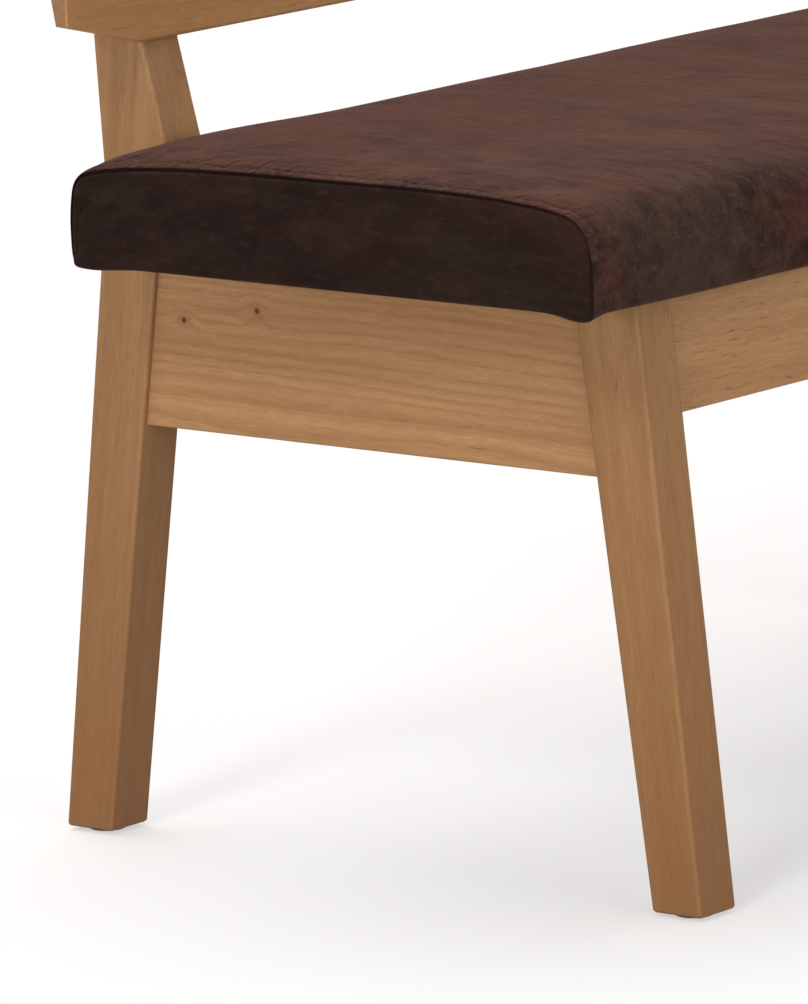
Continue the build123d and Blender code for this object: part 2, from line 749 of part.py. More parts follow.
# Glides under all nine feet
foot_spots = [
    wing.from_local_coords(Vector(place + leg_thickness * half_share, back, 0))
    for wing, place, rows in (
        (long_wing, long_places[0], 2),
        (long_wing, long_places[1], 2),
        (long_wing, long_places[2], 2),
        (short_wing, short_end_place, 2),
        (short_wing, corner_leg_offset, 1),
    )
    for back in (-foot_depth * half_share, -stance_depth + foot_depth * half_share)[:rows]
]
with BuildPart() as glides:
    with Locations(*foot_spots):
        Cylinder(glide_radius, glide_height, align=(Align.CENTER, Align.CENTER, Align.MIN))
save(glides, "glides")
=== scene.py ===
import json
import math
from collections import namedtuple

import bmesh
import bpy
import numpy as np
from mathutils import Matrix, Vector, noise


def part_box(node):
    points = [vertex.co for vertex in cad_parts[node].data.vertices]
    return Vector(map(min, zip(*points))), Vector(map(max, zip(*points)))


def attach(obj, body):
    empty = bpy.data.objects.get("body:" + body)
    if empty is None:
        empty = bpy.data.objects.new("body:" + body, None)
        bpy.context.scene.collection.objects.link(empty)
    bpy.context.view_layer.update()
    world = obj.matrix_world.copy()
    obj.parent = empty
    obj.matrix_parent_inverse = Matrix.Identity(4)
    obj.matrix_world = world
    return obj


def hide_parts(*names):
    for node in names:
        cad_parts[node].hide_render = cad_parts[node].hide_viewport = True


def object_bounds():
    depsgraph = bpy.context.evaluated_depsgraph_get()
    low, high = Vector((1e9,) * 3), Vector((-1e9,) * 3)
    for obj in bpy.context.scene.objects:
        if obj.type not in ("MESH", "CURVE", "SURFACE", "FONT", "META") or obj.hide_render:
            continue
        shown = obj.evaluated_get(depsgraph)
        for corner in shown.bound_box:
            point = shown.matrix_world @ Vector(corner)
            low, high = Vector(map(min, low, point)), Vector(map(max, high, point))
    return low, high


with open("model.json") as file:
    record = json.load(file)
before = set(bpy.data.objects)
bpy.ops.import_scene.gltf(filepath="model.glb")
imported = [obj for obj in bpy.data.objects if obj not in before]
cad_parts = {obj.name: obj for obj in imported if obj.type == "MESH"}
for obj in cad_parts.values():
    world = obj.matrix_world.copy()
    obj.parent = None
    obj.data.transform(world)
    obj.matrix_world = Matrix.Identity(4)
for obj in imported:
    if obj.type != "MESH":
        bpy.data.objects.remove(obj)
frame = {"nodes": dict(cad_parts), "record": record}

# Corner bench: dresses the CAD frame with oak, sewn seats, screws and glides. The row frame is in metres:
# +X along the long wing to the corner, +Y to its back, +Z up, floor at zero. Wings are in millimetres.
MM = 0.001
cad_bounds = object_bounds()
nodes = frame["nodes"]


class Wing:
    """A wing's frame: along, back and up in millimetres, as in the CAD, to metres in the row frame."""

    def __init__(self, origin, along, back):
        self.origin = np.array(origin)
        self.axes = np.array((along, back, (0, 0, 1)))

    def world(self, points):
        return self.origin + np.asarray(points, dtype=float) * MM @ self.axes


# The long wing starts at its end trestle, the short wing in the bench's outer corner
SEAT_OVERHANG = 101.0
LONG = Wing((cad_bounds[0][0] + SEAT_OVERHANG * MM, cad_bounds[1][1], 0), (1, 0, 0), (0, 1, 0))
SHORT = Wing((cad_bounds[1][0], cad_bounds[1][1], 0), (0, -1, 0), (1, 0, 0))

# Camera, solved from the straight edges of the photo, in the long wing's frame
CAMERA_PLACE = (-5053.8, -4260.1, 1466.2)
CAMERA_AZIMUTH = math.radians(-51.935)
CAMERA_ELEVATION = math.radians(10.649)
CAMERA_ROLL = math.radians(-1.425)
CAMERA_LENS = 351.25


def make_camera():
    """The photo's camera: a long lens far out, slightly rolled."""
    turn = Matrix.Rotation(CAMERA_AZIMUTH, 4, "Z")
    tilt = Matrix.Rotation(math.pi / 2 - CAMERA_ELEVATION, 4, "X")
    roll = Matrix.Rotation(CAMERA_ROLL, 4, "Z")
    data = bpy.data.cameras.new("photo_camera")
    data.lens = CAMERA_LENS
    data.sensor_width = 36
    data.clip_end = 200
    camera = bpy.data.objects.new("photo_camera", data)
    camera.matrix_world = Matrix.Translation(Vector(LONG.world(CAMERA_PLACE))) @ turn @ tilt @ roll
    bpy.context.scene.collection.objects.link(camera)
    bpy.context.scene.camera = camera


make_camera()
bpy.context.scene.view_settings.view_transform = "Standard"


# Materials

def linear(red, green, blue):
    """A colour given as display values from 0 to 255, as linear light."""
    def channel(value):
        value = value / 255
        return value / 12.92 if value <= 0.04045 else ((value + 0.055) / 1.055) ** 2.4
    return (channel(red), channel(green), channel(blue), 1)


class Nodes:
    """Short calls for building the node tree of a material or a world."""

    def __init__(self, name, kind="materials"):
        self.owner = getattr(bpy.data, kind).new(name)
        self.owner.use_nodes = True
        self.tree = self.owner.node_tree
        self.shader = self.tree.nodes.get("Principled BSDF")

    def new(self, kind, *values, **settings):
        """Adds a node with settings, and feeds values to its inputs in order."""
        node = self.tree.nodes.new(kind)
        for key, value in settings.items():
            setattr(node, key, value)
        for index, value in enumerate(values):
            self.feed(node, index, value)
        return node

    def link(self, source, target):
        self.tree.links.new(source, target)

    def feed(self, node, index, value):
        """Sets an input from another node's output or from a plain value."""
        if isinstance(value, bpy.types.NodeSocket):
            self.link(value, node.inputs[index])
        else:
            node.inputs[index].default_value = value

    def place(self):
        return self.new("ShaderNodeTexCoord").outputs["Object"]

    def vector(self, operation, first, second=(0, 0, 0)):
        node = self.new("ShaderNodeVectorMath", first, second, operation=operation)
        return node.outputs["Value" if operation in ("DOT_PRODUCT", "LENGTH") else "Vector"]

    def math(self, operation, first, second=0.0, third=0.0):
        return self.new("ShaderNodeMath", first, second, third, operation=operation).outputs[0]

    def times(self, first, second):
        return self.math("MULTIPLY", first, second)

    def combine(self, x, y, z):
        return self.new("ShaderNodeCombineXYZ", x, y, z).outputs[0]

    def constants(self, node, **values):
        """Sets inputs by their names, with an underscore for each space."""
        for name, value in values.items():
            node.inputs[name.replace("_", " ")].default_value = value

    def noise(self, vector, scale, detail=3.0, roughness=0.5, distortion=0.0, output=0):
        node = self.new("ShaderNodeTexNoise", vector)
        self.constants(node, Scale=scale, Detail=detail, Roughness=roughness, Distortion=distortion)
        return node.outputs[output]

    def ramp(self, value, *stops):
        node = self.new("ShaderNodeValToRGB", value)
        elements = node.color_ramp.elements
        while len(elements) < len(stops):
            elements.new(0.5)
        for element, (position, color) in zip(elements, stops):
            element.position = position
            element.color = color if len(color) == 4 else (*color, 1)
        return node.outputs[0]

    def span(self, value, low, high, to_low=0.0, to_high=1.0):
        """Maps a range of a value to another, clamped."""
        return self.new("ShaderNodeMapRange", value, low, high, to_low, to_high).outputs[0]

    def mix(self, factor, first, second, blend="MIX"):
        """Mixes two colours. A mix node has its sockets for colours after those for other values."""
        node = self.new("ShaderNodeMix", data_type="RGBA", blend_type=blend)
        for index, value in ((0, factor), (6, first), (7, second)):
            self.feed(node, index, value)
        return node.outputs[2]

    def layered(self, ground, *layers):
        """Lays colours over a ground one after another, each by its own share."""
        for share, color in layers:
            ground = self.mix(share, ground, color)
        return ground

    def bump(self, height, strength, distance):
        node = self.new("ShaderNodeBump")
        self.constants(node, Strength=strength, Distance=distance)
        self.link(height, node.inputs["Height"])
        return node.outputs[0]

    def finish(self, color, roughness, normal=None, **constants):
        self.link(color, self.shader.inputs["Base Color"])
        self.feed(self.shader, "Roughness", roughness)
        if normal is not None:
            self.link(normal, self.shader.inputs["Normal"])
        self.constants(self.shader, **constants)
        return self.owner


# Oak

OAK_DARK = linear(124, 80, 44)
OAK_MID = linear(161, 121, 81)
OAK_LIGHT = linear(177, 136, 94)
OAK_LATE = linear(142, 99, 61)
OAK_FLECK = linear(196, 158, 114)
OAK_KNOT_HALO = linear(134, 88, 50)
OAK_KNOT = linear(78, 38, 12)
PORE = linear(98, 57, 28)
END_GRAIN = (0.72, 0.745, 0.95, 1)
# How upright the grain of a leg is at least, and the painted shade that darkens legs from a height down to
# another, where less light reaches them near the floor
UPRIGHT = 0.8
FOOT_PAINTED_SHADE = (0.44, 0.04, 0.0, 0.64)
# How far the rings wander, in metres, and how unevenly they are spaced, in rings
RING_WANDER = 0.030
RING_UNEVENNESS = 2.2


def cut_axes(grain):
    """Unit directions along the grain, across it, and at right angles to both."""
    along = Vector(grain).normalized()
    helper = Vector((0, 0, 1)) if abs(along.z) < UPRIGHT else Vector((1, 0, 0))
    across = along.cross(helper).normalized()
    return along, across, along.cross(across)


def growth_rings(n, coordinates, wander, from_knots, seed, ring):
    """The early and the late wood of rings that wander, and bend round the knots."""
    u, v, w = coordinates
    bent = n.vector("MULTIPLY", n.vector("SUBTRACT", wander, (0.5, 0.5, 0.5)), (0, RING_WANDER, RING_WANDER))
    for away, size in from_knots:
        pull = n.span(away, size * 7, size, 0.0, size * 2.2)
        bent = n.vector("ADD", bent, n.combine(0.0, pull, pull))
    radius = n.vector("LENGTH", n.vector("ADD", n.combine(0.0, v, w), bent))
    place = n.combine(n.times(radius, 60.0), seed, n.times(u, 0.3))
    uneven = n.times(n.noise(place, 1.0, 2.0), RING_UNEVENNESS)
    phase = n.math("FRACT", n.math("ADD", n.math("DIVIDE", radius, ring), uneven))
    early = n.times(n.span(phase, 0.0, 0.10), n.span(phase, 0.18, 0.48, 1.0, 0.0))
    return early, n.span(phase, 0.70, 0.96)


def oak(name, grain, pith, seed, knots, ring, tone_and_painted_shade, pore_share, figure):
    """Oiled oak sawn from a log whose pith runs along the grain through a point, so its rings, pores and
    fibres show arcs on end grain and flames on faces."""
    n = Nodes(name)
    axes = cut_axes(grain)
    place = n.vector("SUBTRACT", n.place(), Vector(pith))
    u, v, w = [n.vector("DOT_PRODUCT", place, axis) for axis in axes]
    shifted = n.math("ADD", u, seed * 3.7)

    def stretched(by_along, by_across):
        return n.combine(n.times(shifted, by_along), n.times(v, by_across), n.times(w, by_across))

    from_knots = [(n.vector("LENGTH", n.vector("SUBTRACT", n.place(), Vector(knot))), size)
                  for knot, size in knots]
    wander = n.noise(stretched(1.0, 5.0), 2.2, 2.0, output=1)
    early, late = growth_rings(n, (u, v, w), wander, from_knots, seed, ring)
    fibres = n.noise(stretched(60.0, 620.0), 1.0, 3.0, 0.7, 0.9)
    pores = n.noise(stretched(62.0, 760.0), 1.0, 1.0)
    open_pore = n.times(n.span(pores, 0.60, 0.74), n.span(early, 0.0, 1.0, 0.28, 1.0))
    bands = n.noise(stretched(3.0, 85.0), 1.0, 3.0, 0.6)
    tones = n.noise(stretched(1.0, 12.0), 2.6, 3.0, 0.55)
    flecks = n.noise(stretched(75.0, 420.0), 1.0, 1.0, 0.5, 0.6)
    ground = n.layered(
        n.ramp(tones, (0.30, OAK_MID), (0.72, OAK_LIGHT)),
        (n.span(bands, 0.42, 0.66, 0.0, 0.24), OAK_DARK),
        (n.times(early, 0.17 * figure), OAK_DARK),
        (n.times(late, 0.12 * figure), OAK_LATE),
        (n.span(fibres, 0.40, 0.66, 0.0, 0.26), OAK_DARK),
        (n.span(flecks, 0.58, 0.78, 0.0, 0.20), OAK_FLECK),
        (n.times(open_pore, pore_share), PORE),
    )
    for away, size in from_knots:
        ground = n.layered(
            ground,
            (n.span(away, size * 4.5, size * 0.8, 0.0, 0.45), OAK_KNOT_HALO),
            (n.span(away, size * 1.15, size * 0.7, 0.0, 0.92), OAK_KNOT),
        )
    # The piece's tone, which on some pieces is partly painted shade and light
    ground = n.mix(1.0, ground, (*tone_and_painted_shade, 1), "MULTIPLY")
    facing = n.vector("DOT_PRODUCT", n.new("ShaderNodeNewGeometry").outputs["Normal"], axes[0])
    ground = n.mix(n.span(n.math("ABSOLUTE", facing), 0.75, 0.92), ground, END_GRAIN, "MULTIPLY")
    # Painted shade: upright pieces grow darker towards the floor
    if abs(axes[0].z) > UPRIGHT:
        height = n.vector("DOT_PRODUCT", n.place(), (0, 0, 1))
        ground = n.mix(n.span(height, *FOOT_PAINTED_SHADE), ground, OAK_DARK)
    rough = n.span(pores, 0.3, 0.75, 0.46, 0.62)
    relief = n.math("SUBTRACT", n.times(fibres, 0.35), open_pore)
    return n.finish(ground, rough, n.bump(relief, 0.35, 0.00022), Specular_IOR_Level=0.22)


# Other materials

COVER_BASE = ((0.32, linear(31, 22, 18)), (0.50, linear(41, 28, 23)), (0.70, linear(57, 38, 30)))
# Layers over it: the field of noise, where it sets in and is full, its largest share and its colour
COVER_LAYERS = (
    ("hues", 0.46, 0.60, 0.70, linear(78, 43, 33)),
    ("hues", 0.46, 0.34, 0.70, linear(33, 29, 24)),
    ("greys", 0.50, 0.66, 0.55, linear(64, 54, 45)),
    ("patches", 0.46, 0.64, 0.60, linear(76, 57, 47)),
    ("patches", 0.46, 0.32, 0.55, linear(20, 14, 12)),
    ("mottle", 0.54, 0.72, 0.50, linear(98, 74, 62)),
    ("mottle", 0.44, 0.30, 0.45, linear(16, 10, 9)),
)
COVER_SPECK = linear(28, 19, 16)
# Painted shade in the hollows of the puckers beside the seams
COVER_CREASE_SHADE = linear(17, 11, 9)
COVER_SHEEN = linear(158, 112, 100)
# The clouds are long across the long wing's seat
CLOUD_SCALE = (1.0, 0.45, 1.1)
# How the puckers fade, in metres from the seam, and how fine they are along and across the seat
PUCKER_FADE = (0.006, 0.045, 1.0, 0.0)
PUCKER_ALONG = 35.0
PUCKER_ACROSS = 190.0


def seam_puckers(n, axis, middle, half):
    """Ridges that run from a seat's end seams, and how near to a seam each point lies."""
    stretch = Vector([PUCKER_ALONG if direction else PUCKER_ACROSS for direction in axis])
    ridges = n.noise(n.vector("MULTIPLY", n.place(), stretch), 1.0, 2.0, 0.6, 0.5)
    along = n.math("ABSOLUTE", n.math("SUBTRACT", n.vector("DOT_PRODUCT", n.place(), Vector(axis)), middle))
    return ridges, n.span(n.math("SUBTRACT", half, along), *PUCKER_FADE)


def nubuck(name, seed, light, contrast=1.0, grain_turn=0.0, ends=None):
    """Dark brown vintage microfibre with clouds, creases and a short nap. With ends, which are a seat's
    axis and the middle and half of its length, it puckers towards its seams, and paints shade in the
    puckers' hollows."""
    n = Nodes(name)
    turn = n.new("ShaderNodeMapping", n.vector("ADD", n.place(), (seed * 1.3, seed * 0.7, 0)))
    n.constants(turn, Rotation=(0, 0, grain_turn), Scale=CLOUD_SCALE)
    place = turn.outputs[0]
    clouds = n.noise(place, 9.0, 4.0, 0.6, 0.5)
    hues = n.noise(place, 17.0, 4.0, 0.62, 0.4)
    greys = n.noise(n.vector("ADD", place, (3.1, 0.7, 1.9)), 12.0, 3.0, 0.6, 0.4)
    patches = n.noise(place, 56.0, 4.0, 0.65, 0.4)
    mottle = n.noise(place, 170.0, 3.0, 0.7, 0.4)
    specks = n.noise(place, 420.0, 3.0, 0.6)
    fields = {"hues": hues, "greys": greys, "patches": patches, "mottle": mottle}
    base = n.ramp(clouds, *COVER_BASE)
    for field, low, high, share, color in COVER_LAYERS:
        base = n.mix(n.span(fields[field], low, high, 0.0, share * contrast), base, color)
    base = n.mix(n.span(specks, 0.55, 0.75, 0.0, 0.25), base, COVER_SPECK)
    base = n.mix(1.0, base, (light, light, light, 1), "MULTIPLY")
    height = n.math("MULTIPLY_ADD", hues, 1.0, n.times(patches, 0.7))
    fine = n.math("MULTIPLY_ADD", mottle, 0.38, n.times(specks, 0.13))
    height = n.math("ADD", height, fine)
    if ends is not None:
        ridges, near = seam_puckers(n, *ends)
        height = n.math("ADD", height, n.times(n.times(ridges, near), 1.3))
        # Painted shade in the hollows between the puckers' ridges
        pucker_shade = n.times(n.span(ridges, 0.44, 0.30), n.times(near, 0.55))
        base = n.mix(pucker_shade, base, COVER_CREASE_SHADE)
    return n.finish(base, n.span(patches, 0.3, 0.7, 0.80, 0.94), n.bump(height, 0.9, 0.0027),
                    Specular_IOR_Level=0.06, Sheen_Weight=0.36, Sheen_Roughness=0.46, Sheen_Tint=COVER_SHEEN)


def lining_cloth(name):
    """Black felted underside cloth with a faint pressed pattern of dots."""
    n = Nodes(name)
    place = n.place()
    fuzz = n.noise(place, 420.0, 4.0, 0.65)
    dots = n.new("ShaderNodeTexVoronoi", place)
    n.constants(dots, Scale=620.0)
    color = n.ramp(fuzz, (0.3, linear(18, 18, 19)), (0.7, linear(42, 42, 44)))
    height = n.math("ADD", fuzz, n.times(dots.outputs[0], 0.6))
    return n.finish(color, n.span(fuzz, 0.3, 0.7, 0.85, 0.97), n.bump(height, 0.5, 0.0003),
                    Specular_IOR_Level=0.2, Sheen_Weight=0.15)


def thread(name):
    """Dark brown sewing thread with its twist."""
    n = Nodes(name)
    place = n.place()
    twist = n.noise(place, 2600.0, 2.0)
    color = n.ramp(twist, (0.3, linear(38, 26, 21)), (0.7, linear(84, 62, 53)))
    return n.finish(color, n.span(twist, 0.3, 0.7, 0.6, 0.8), n.bump(twist, 0.4, 0.0001),
                    Specular_IOR_Level=0.2, Sheen_Weight=0.1)


def plain_wood(name, dark, light, grain_scale):
    """Close-grained wood or plywood for hidden blocks and boards."""
    n = Nodes(name)
    place = n.vector("MULTIPLY", n.place(), Vector(grain_scale))
    fibres = n.noise(place, 30.0, 4.0, 0.6)
    bands = n.noise(place, 5.0, 2.0)
    color = n.mix(n.span(fibres, 0.35, 0.7, 0.0, 0.6), n.ramp(bands, (0.3, dark), (0.7, light)), dark)
    return n.finish(color, n.span(fibres, 0.3, 0.7, 0.5, 0.7), n.bump(fibres, 0.3, 0.0003))


def metal(name, color, scratch, rough):
    """Plated steel with fine turned marks and slightly uneven plating."""
    n = Nodes(name)
    place = n.place()
    marks = n.noise(n.vector("MULTIPLY", place, Vector(scratch)), 900.0, 3.0, 0.7)
    cloud = n.noise(place, 240.0, 3.0)
    tint = n.ramp(cloud, (0.3, [c * 0.82 for c in color[:3]]), (0.7, color))
    return n.finish(tint, n.span(marks, 0.3, 0.7, rough - 0.08, rough + 0.12), n.bump(marks, 0.2, 0.0001),
                    Metallic=1.0)


def plastic(name, color):
    """Moulded plastic with a fine matt texture."""
    n = Nodes(name)
    place = n.place()
    grain = n.noise(place, 1400.0, 2.0)
    scuff = n.noise(place, 90.0, 3.0)
    tint = n.ramp(scuff, (0.3, color), (0.75, [c * 1.7 for c in color[:3]]))
    return n.finish(tint, n.span(grain, 0.3, 0.7, 0.42, 0.6), n.bump(grain, 0.35, 0.0001))


def dress(node_name, material):
    """Puts a material on every slot of a CAD node."""
    node = nodes[node_name]
    if not node.material_slots:
        node.data.materials.append(material)
    for material_slot in node.material_slots:
        material_slot.material = material


ALONG_X = (1, 0, 0)
ALONG_Y = (0, 1, 0)
LEG_GRAINS = {
    ("long", "front"): (0, 0.0445, 0.416),
    ("long", "back"): (0, -0.058, 0.467),
    ("short", "front"): (0.0445, 0, 0.416),
    ("short", "back"): (-0.058, 0, 0.467),
}
# Oak of the pieces in the photo: its grain, its pith from the piece's centre, the width of a ring, its tone,
# which on the back leg and the front apron is partly painted shade and light, and how dark its pores are
FRONT_LEG, BACK_LEG = LEG_GRAINS["long", "front"], LEG_GRAINS["long", "back"]
OAK_PLANS = {
    "long_end_front_leg": (FRONT_LEG, (-0.10, -0.02, 0), 0.0032, (0.925, 0.905, 0.85), 0.42),
    # Painted shade: the back leg's darker tone stands for the shade it sits in under the bench
    "long_end_back_leg": (BACK_LEG, (-0.16, 0.05, 0), 0.0036, (0.82, 0.80, 0.77), 0.30),
    "long_end_apron": ((0, 1, 0.03), (0.085, 0, -0.16), 0.0075, (1.05, 1.03, 1.02), 0.30),
    # Painted light: the front apron's lighter tone makes up for the light its seat's overhang keeps off
    "long_front_apron_outer": (ALONG_X, (0, 0.10, 0.09), 0.0042, (1.17, 1.17, 1.15), 0.65),
    "long_backrest": (ALONG_X, (0, -0.06, -0.30), 0.0042, (1.10, 1.04, 0.96), 0.5),
}
COMMON_PORES = 0.45
# Pin knots, in the long wing's frame, and their radii in metres
PIN_KNOTS = {"long_end_apron": (((4.7, -113.3, 365.6), 0.0021), ((4.7, -177.0, 377.1), 0.0023))}
# How strongly the rings show, on the piece with knots and elsewhere
KNOTTY_FIGURE = 1.8
PLAIN_FIGURE = 0.55


def common_plan(name, size, seed):
    """The oak of a piece that the photo doesn't show, a little different for each seed."""
    if "leg" in name:
        grain = LEG_GRAINS[name.split("_")[0], "front" if "front" in name else "back"]
    else:
        grain = ALONG_X if size.x > size.y else ALONG_Y
    side = 1 if seed % 2 else -1
    offset = (0.06 * side, 0.05 + 0.01 * (seed % 4), -0.10 - 0.02 * (seed % 3))
    ring = 0.0032 + 0.0003 * (seed % 4)
    tone_and_painted_shade = (0.97 + 0.03 * (seed % 3),) * 3
    return grain, offset, ring, tone_and_painted_shade, COMMON_PORES


def dress_oak():
    """Gives every oak node its own cut of wood."""
    names = [entry["node"] for entry in frame["record"]["subparts"] if entry["material_slot"] == "oak"]
    for seed, name in enumerate(names, 1):
        low, high = (Vector(corner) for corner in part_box(name))
        plan = OAK_PLANS.get(name) or common_plan(name, high - low, seed)
        grain, offset, ring, tone_and_painted_shade, pores = plan
        pith = (low + high) / 2 + Vector(offset)
        knots = [(Vector(LONG.world(place)), size) for place, size in PIN_KNOTS.get(name, ())]
        figure = KNOTTY_FIGURE if knots else PLAIN_FIGURE
        dress(name, oak("oak_" + name, grain, pith, seed, knots, ring, tone_and_painted_shade, pores, figure))


def dress_hidden_nodes():
    """Dresses the pieces that show only from below or not at all."""
    dress("seat_blocks", plain_wood("beech", linear(176, 134, 92), linear(205, 168, 124), (9, 9, 0.8)))
    dress("mitre_dowels", plain_wood("dowel_beech", linear(170, 126, 84), linear(200, 160, 116), (6, 6, 6)))
    for seat in ("long_seat", "short_seat"):
        veneers = (linear(166, 130, 88), linear(200, 168, 122))
        dress(seat + "_board", plain_wood(seat + "_board_plywood", *veneers, (0.8, 6, 40)))
        dress(seat + "_lining", lining_cloth(seat + "_lining_cloth"))
    dress("apron_bracket", metal("galvanised", (0.50, 0.50, 0.51, 1), (1, 1, 3), 0.42))


dress_oak()
dress_hidden_nodes()

# Where the two seats lie along their wings, in millimetres
LONG_SEAT_LENGTH = 2039.0
SHORT_SEAT_START = 541.0
SHORT_SEAT_LENGTH = 957.5
LONG_SEAT_MIDDLE = float(LONG.origin[0] + (LONG_SEAT_LENGTH / 2 - SEAT_OVERHANG) * MM)
SHORT_SEAT_MIDDLE = float(SHORT.origin[1] - (SHORT_SEAT_START + SHORT_SEAT_LENGTH / 2) * MM)
COVER_LIGHT = 0.80
LONG_COVER = nubuck("long_cover_nubuck", 1.0, COVER_LIGHT,
                    ends=(ALONG_X, LONG_SEAT_MIDDLE, LONG_SEAT_LENGTH / 2 * MM))
SHORT_COVER = nubuck("short_cover_nubuck", 1.0, COVER_LIGHT,
                     ends=(ALONG_Y, SHORT_SEAT_MIDDLE, SHORT_SEAT_LENGTH / 2 * MM))
# Painted shade: the end panels take a darker copy of the cover for the duller look of the nap there
SHADED_END_COVER = nubuck("cover_end_nubuck", 4.0, 0.53, contrast=0.42, grain_turn=0.9)
# Painted shade: a near-black copy of the cover darkens the faces in the groove along each seam
SEAM_SHADE_COVER = nubuck("cover_groove_nubuck", 6.0, 0.10)
STEEL = metal("zinc_plate", (0.60, 0.60, 0.62, 1), (1, 1, 1), 0.28)
GLIDE = plastic("glide_plastic", linear(58, 42, 32))
THREAD = thread("sewing_thread")


# Helpers for meshes

def mesh_object(name, vertices, faces, materials, face_materials=None, smooth=True):
    """Builds an object from vertices and faces in the row frame."""
    mesh = bpy.data.meshes.new(name)
    mesh.from_pydata([tuple(v) for v in vertices], [], [tuple(f) for f in faces])
    for material in materials:
        mesh.materials.append(material)
    mesh.polygons.foreach_set("use_smooth", [smooth] * len(mesh.polygons))
    if face_materials is not None:
        mesh.polygons.foreach_set("material_index", face_materials)
    mesh.update()
    piece = bpy.data.objects.new(name, mesh)
    bpy.context.scene.collection.objects.link(piece)
    return piece


def circle(count):
    """The cosine and the sine of each of a number of even turns."""
    turns = [2 * math.pi * k / count for k in range(count)]
    return [(math.cos(turn), math.sin(turn)) for turn in turns]


def band_faces(base, rings, sides):
    """Quads between neighbouring rings of vertices, the first of which starts at vertex base."""
    faces = []
    for ring in range(rings - 1):
        first = base + ring * sides
        for k in range(sides):
            here, after = first + k, first + (k + 1) % sides
            faces.append((here, after, after + sides, here + sides))
    return faces


def tube_faces(base, rings, sides):
    """The bands of a tube and a face over each of its ends."""
    last = base + (rings - 1) * sides
    return band_faces(base, rings, sides) + [
        tuple(base + k for k in reversed(range(sides))),
        tuple(last + k for k in range(sides)),
    ]


# Seats. Sections are in millimetres: back from the wing's back line, up from the floor.

# The sizes of a seat's section: its extremes, the heights of its shoulders and crown, and its bends
Section = namedtuple("Section", "rear front low rear_top crown front_top rear_radius front_radius draw_in")

# The seam at a wing's end, drawn down by the end panel, and the full section away from it
SEAM_SECTION = Section(-102.0, -539.2, 417.8, 481.5, 491.0, 484.5, 14.0, 24.0, 1.2)
FULL_SECTION = Section(-105.0, -539.5, 418.6, 490.0, 496.0, 487.0, 20.0, 28.0, 2.5)
LOW_RADIUS = 4.0
# The lining's edge on the underside, and how far the cover lies back inside it
HEM = 26.0
HEM_RECESS = 1.6
# How far from the seam the section grows full, and how far it grows slimmer before the simulation
SECTION_BLEND = 16.0
SLIM_BLEND = 45.0
# Heights over the underside where these fade in: the unsewn part, the top's swell, low sags, foam lumps
UNSEWN_BAND = (9.0, 2.0)
SWELL_BAND = (30.0, 65.0)
LOW_BAND = (22.0, 2.0)
LUMP_BAND = (6.0, 12.0)
# Hills as height, place and reach: the top's swell near an end, its lack by the seam, the sag of an end's
# lower corners, and the puckers beside a seam
END_SWELL = (3.8, 125.0, 95.0)
LESS_SWELL = (3.8, 0.0, 620.0)
CORNER_SAGS = ((2.8, -121.0, 24.0), (4.2, -527.0, 17.0))
SAG_FADE = (1.0, 0.0, 13.0)
PUCKERS = (0.9, 14.0, 9.0)
# The end's swell is lower at the front, and the rest of the top rises evenly
REAR_SHARE = 0.65
MIDDLE_RISE = 2.3
RUN_UP = 60.0
# The front's lower edge droops towards the front
FRONT_DROOP = 2.7
DROOP_BAND = (-507.0, -529.0)
CAP_BULGE = 1.5
# The foam's lumps: their height, and how closely they follow each other
LUMPS = 0.5
LUMP_SCALE = (0.011, 0.011, 0.02)

# Rings from an end panel to its seam, then over the main panel's roll and its row of stitches: along and
# inset on the sewn sides, then on the underside, where no seam runs
CAP_RINGS = (
    (0.0, 9.5, 0.0, 7.5),
    (0.1, 6.0, 0.1, 4.2),
    (0.6, 3.7, 0.5, 2.1),
    (1.6, 2.7, 1.2, 1.0),
    (3.4, 2.3, 2.2, 0.35),
)
PANEL_RINGS = (
    (2.0, 1.1, 2.6, 0.25),
    (1.6, 0.3, 3.0, 0.2),
    (2.4, -0.2, 3.6, 0.1),
    (4.6, -0.35, 5.0, 0.05),
    (8.0, -0.3, 8.0, 0.0),
    (10.4, 0.0, 10.4, 0.0),
    (11.2, 0.35, 11.2, 0.0),
    (11.9, 1.0, 11.9, 0.0),
    (12.6, 0.35, 12.6, 0.0),
    *((along, 0.0, along, 0.0) for along in (14.4, 18.0, 22.0, 25.6, 26.6)),
)
STITCH_RING = 7
# The grid of the sewn cover and of the trial cover for the cloth simulation: the cells on a side and on
# the top, the rings on an end panel and beside it, and the step between the other rings
SEWN_GRID = (12, 72, CAP_RINGS, PANEL_RINGS, 7.5)
TRIAL_GRID = (6, 32, (CAP_RINGS[0], CAP_RINGS[4]), (PANEL_RINGS[1], PANEL_RINGS[5], PANEL_RINGS[11]), 13.5)


def arc(centre, radius, start, end, count=12):
    """Points on an arc, angles in degrees."""
    turns = np.radians(np.linspace(start, end, count))
    return np.stack((centre[0] + radius * np.cos(turns), centre[1] + radius * np.sin(turns)), axis=1)


def bowed(first, last, bow, count=9):
    """Points from one place to another that bow out by a distance at mid-height."""
    share = np.linspace(0, 1, count)[:, None]
    line = np.array(first) * (1 - share) + np.array(last) * share
    line[:, 0] += bow * 4 * share[:, 0] * (1 - share[:, 0])
    return line


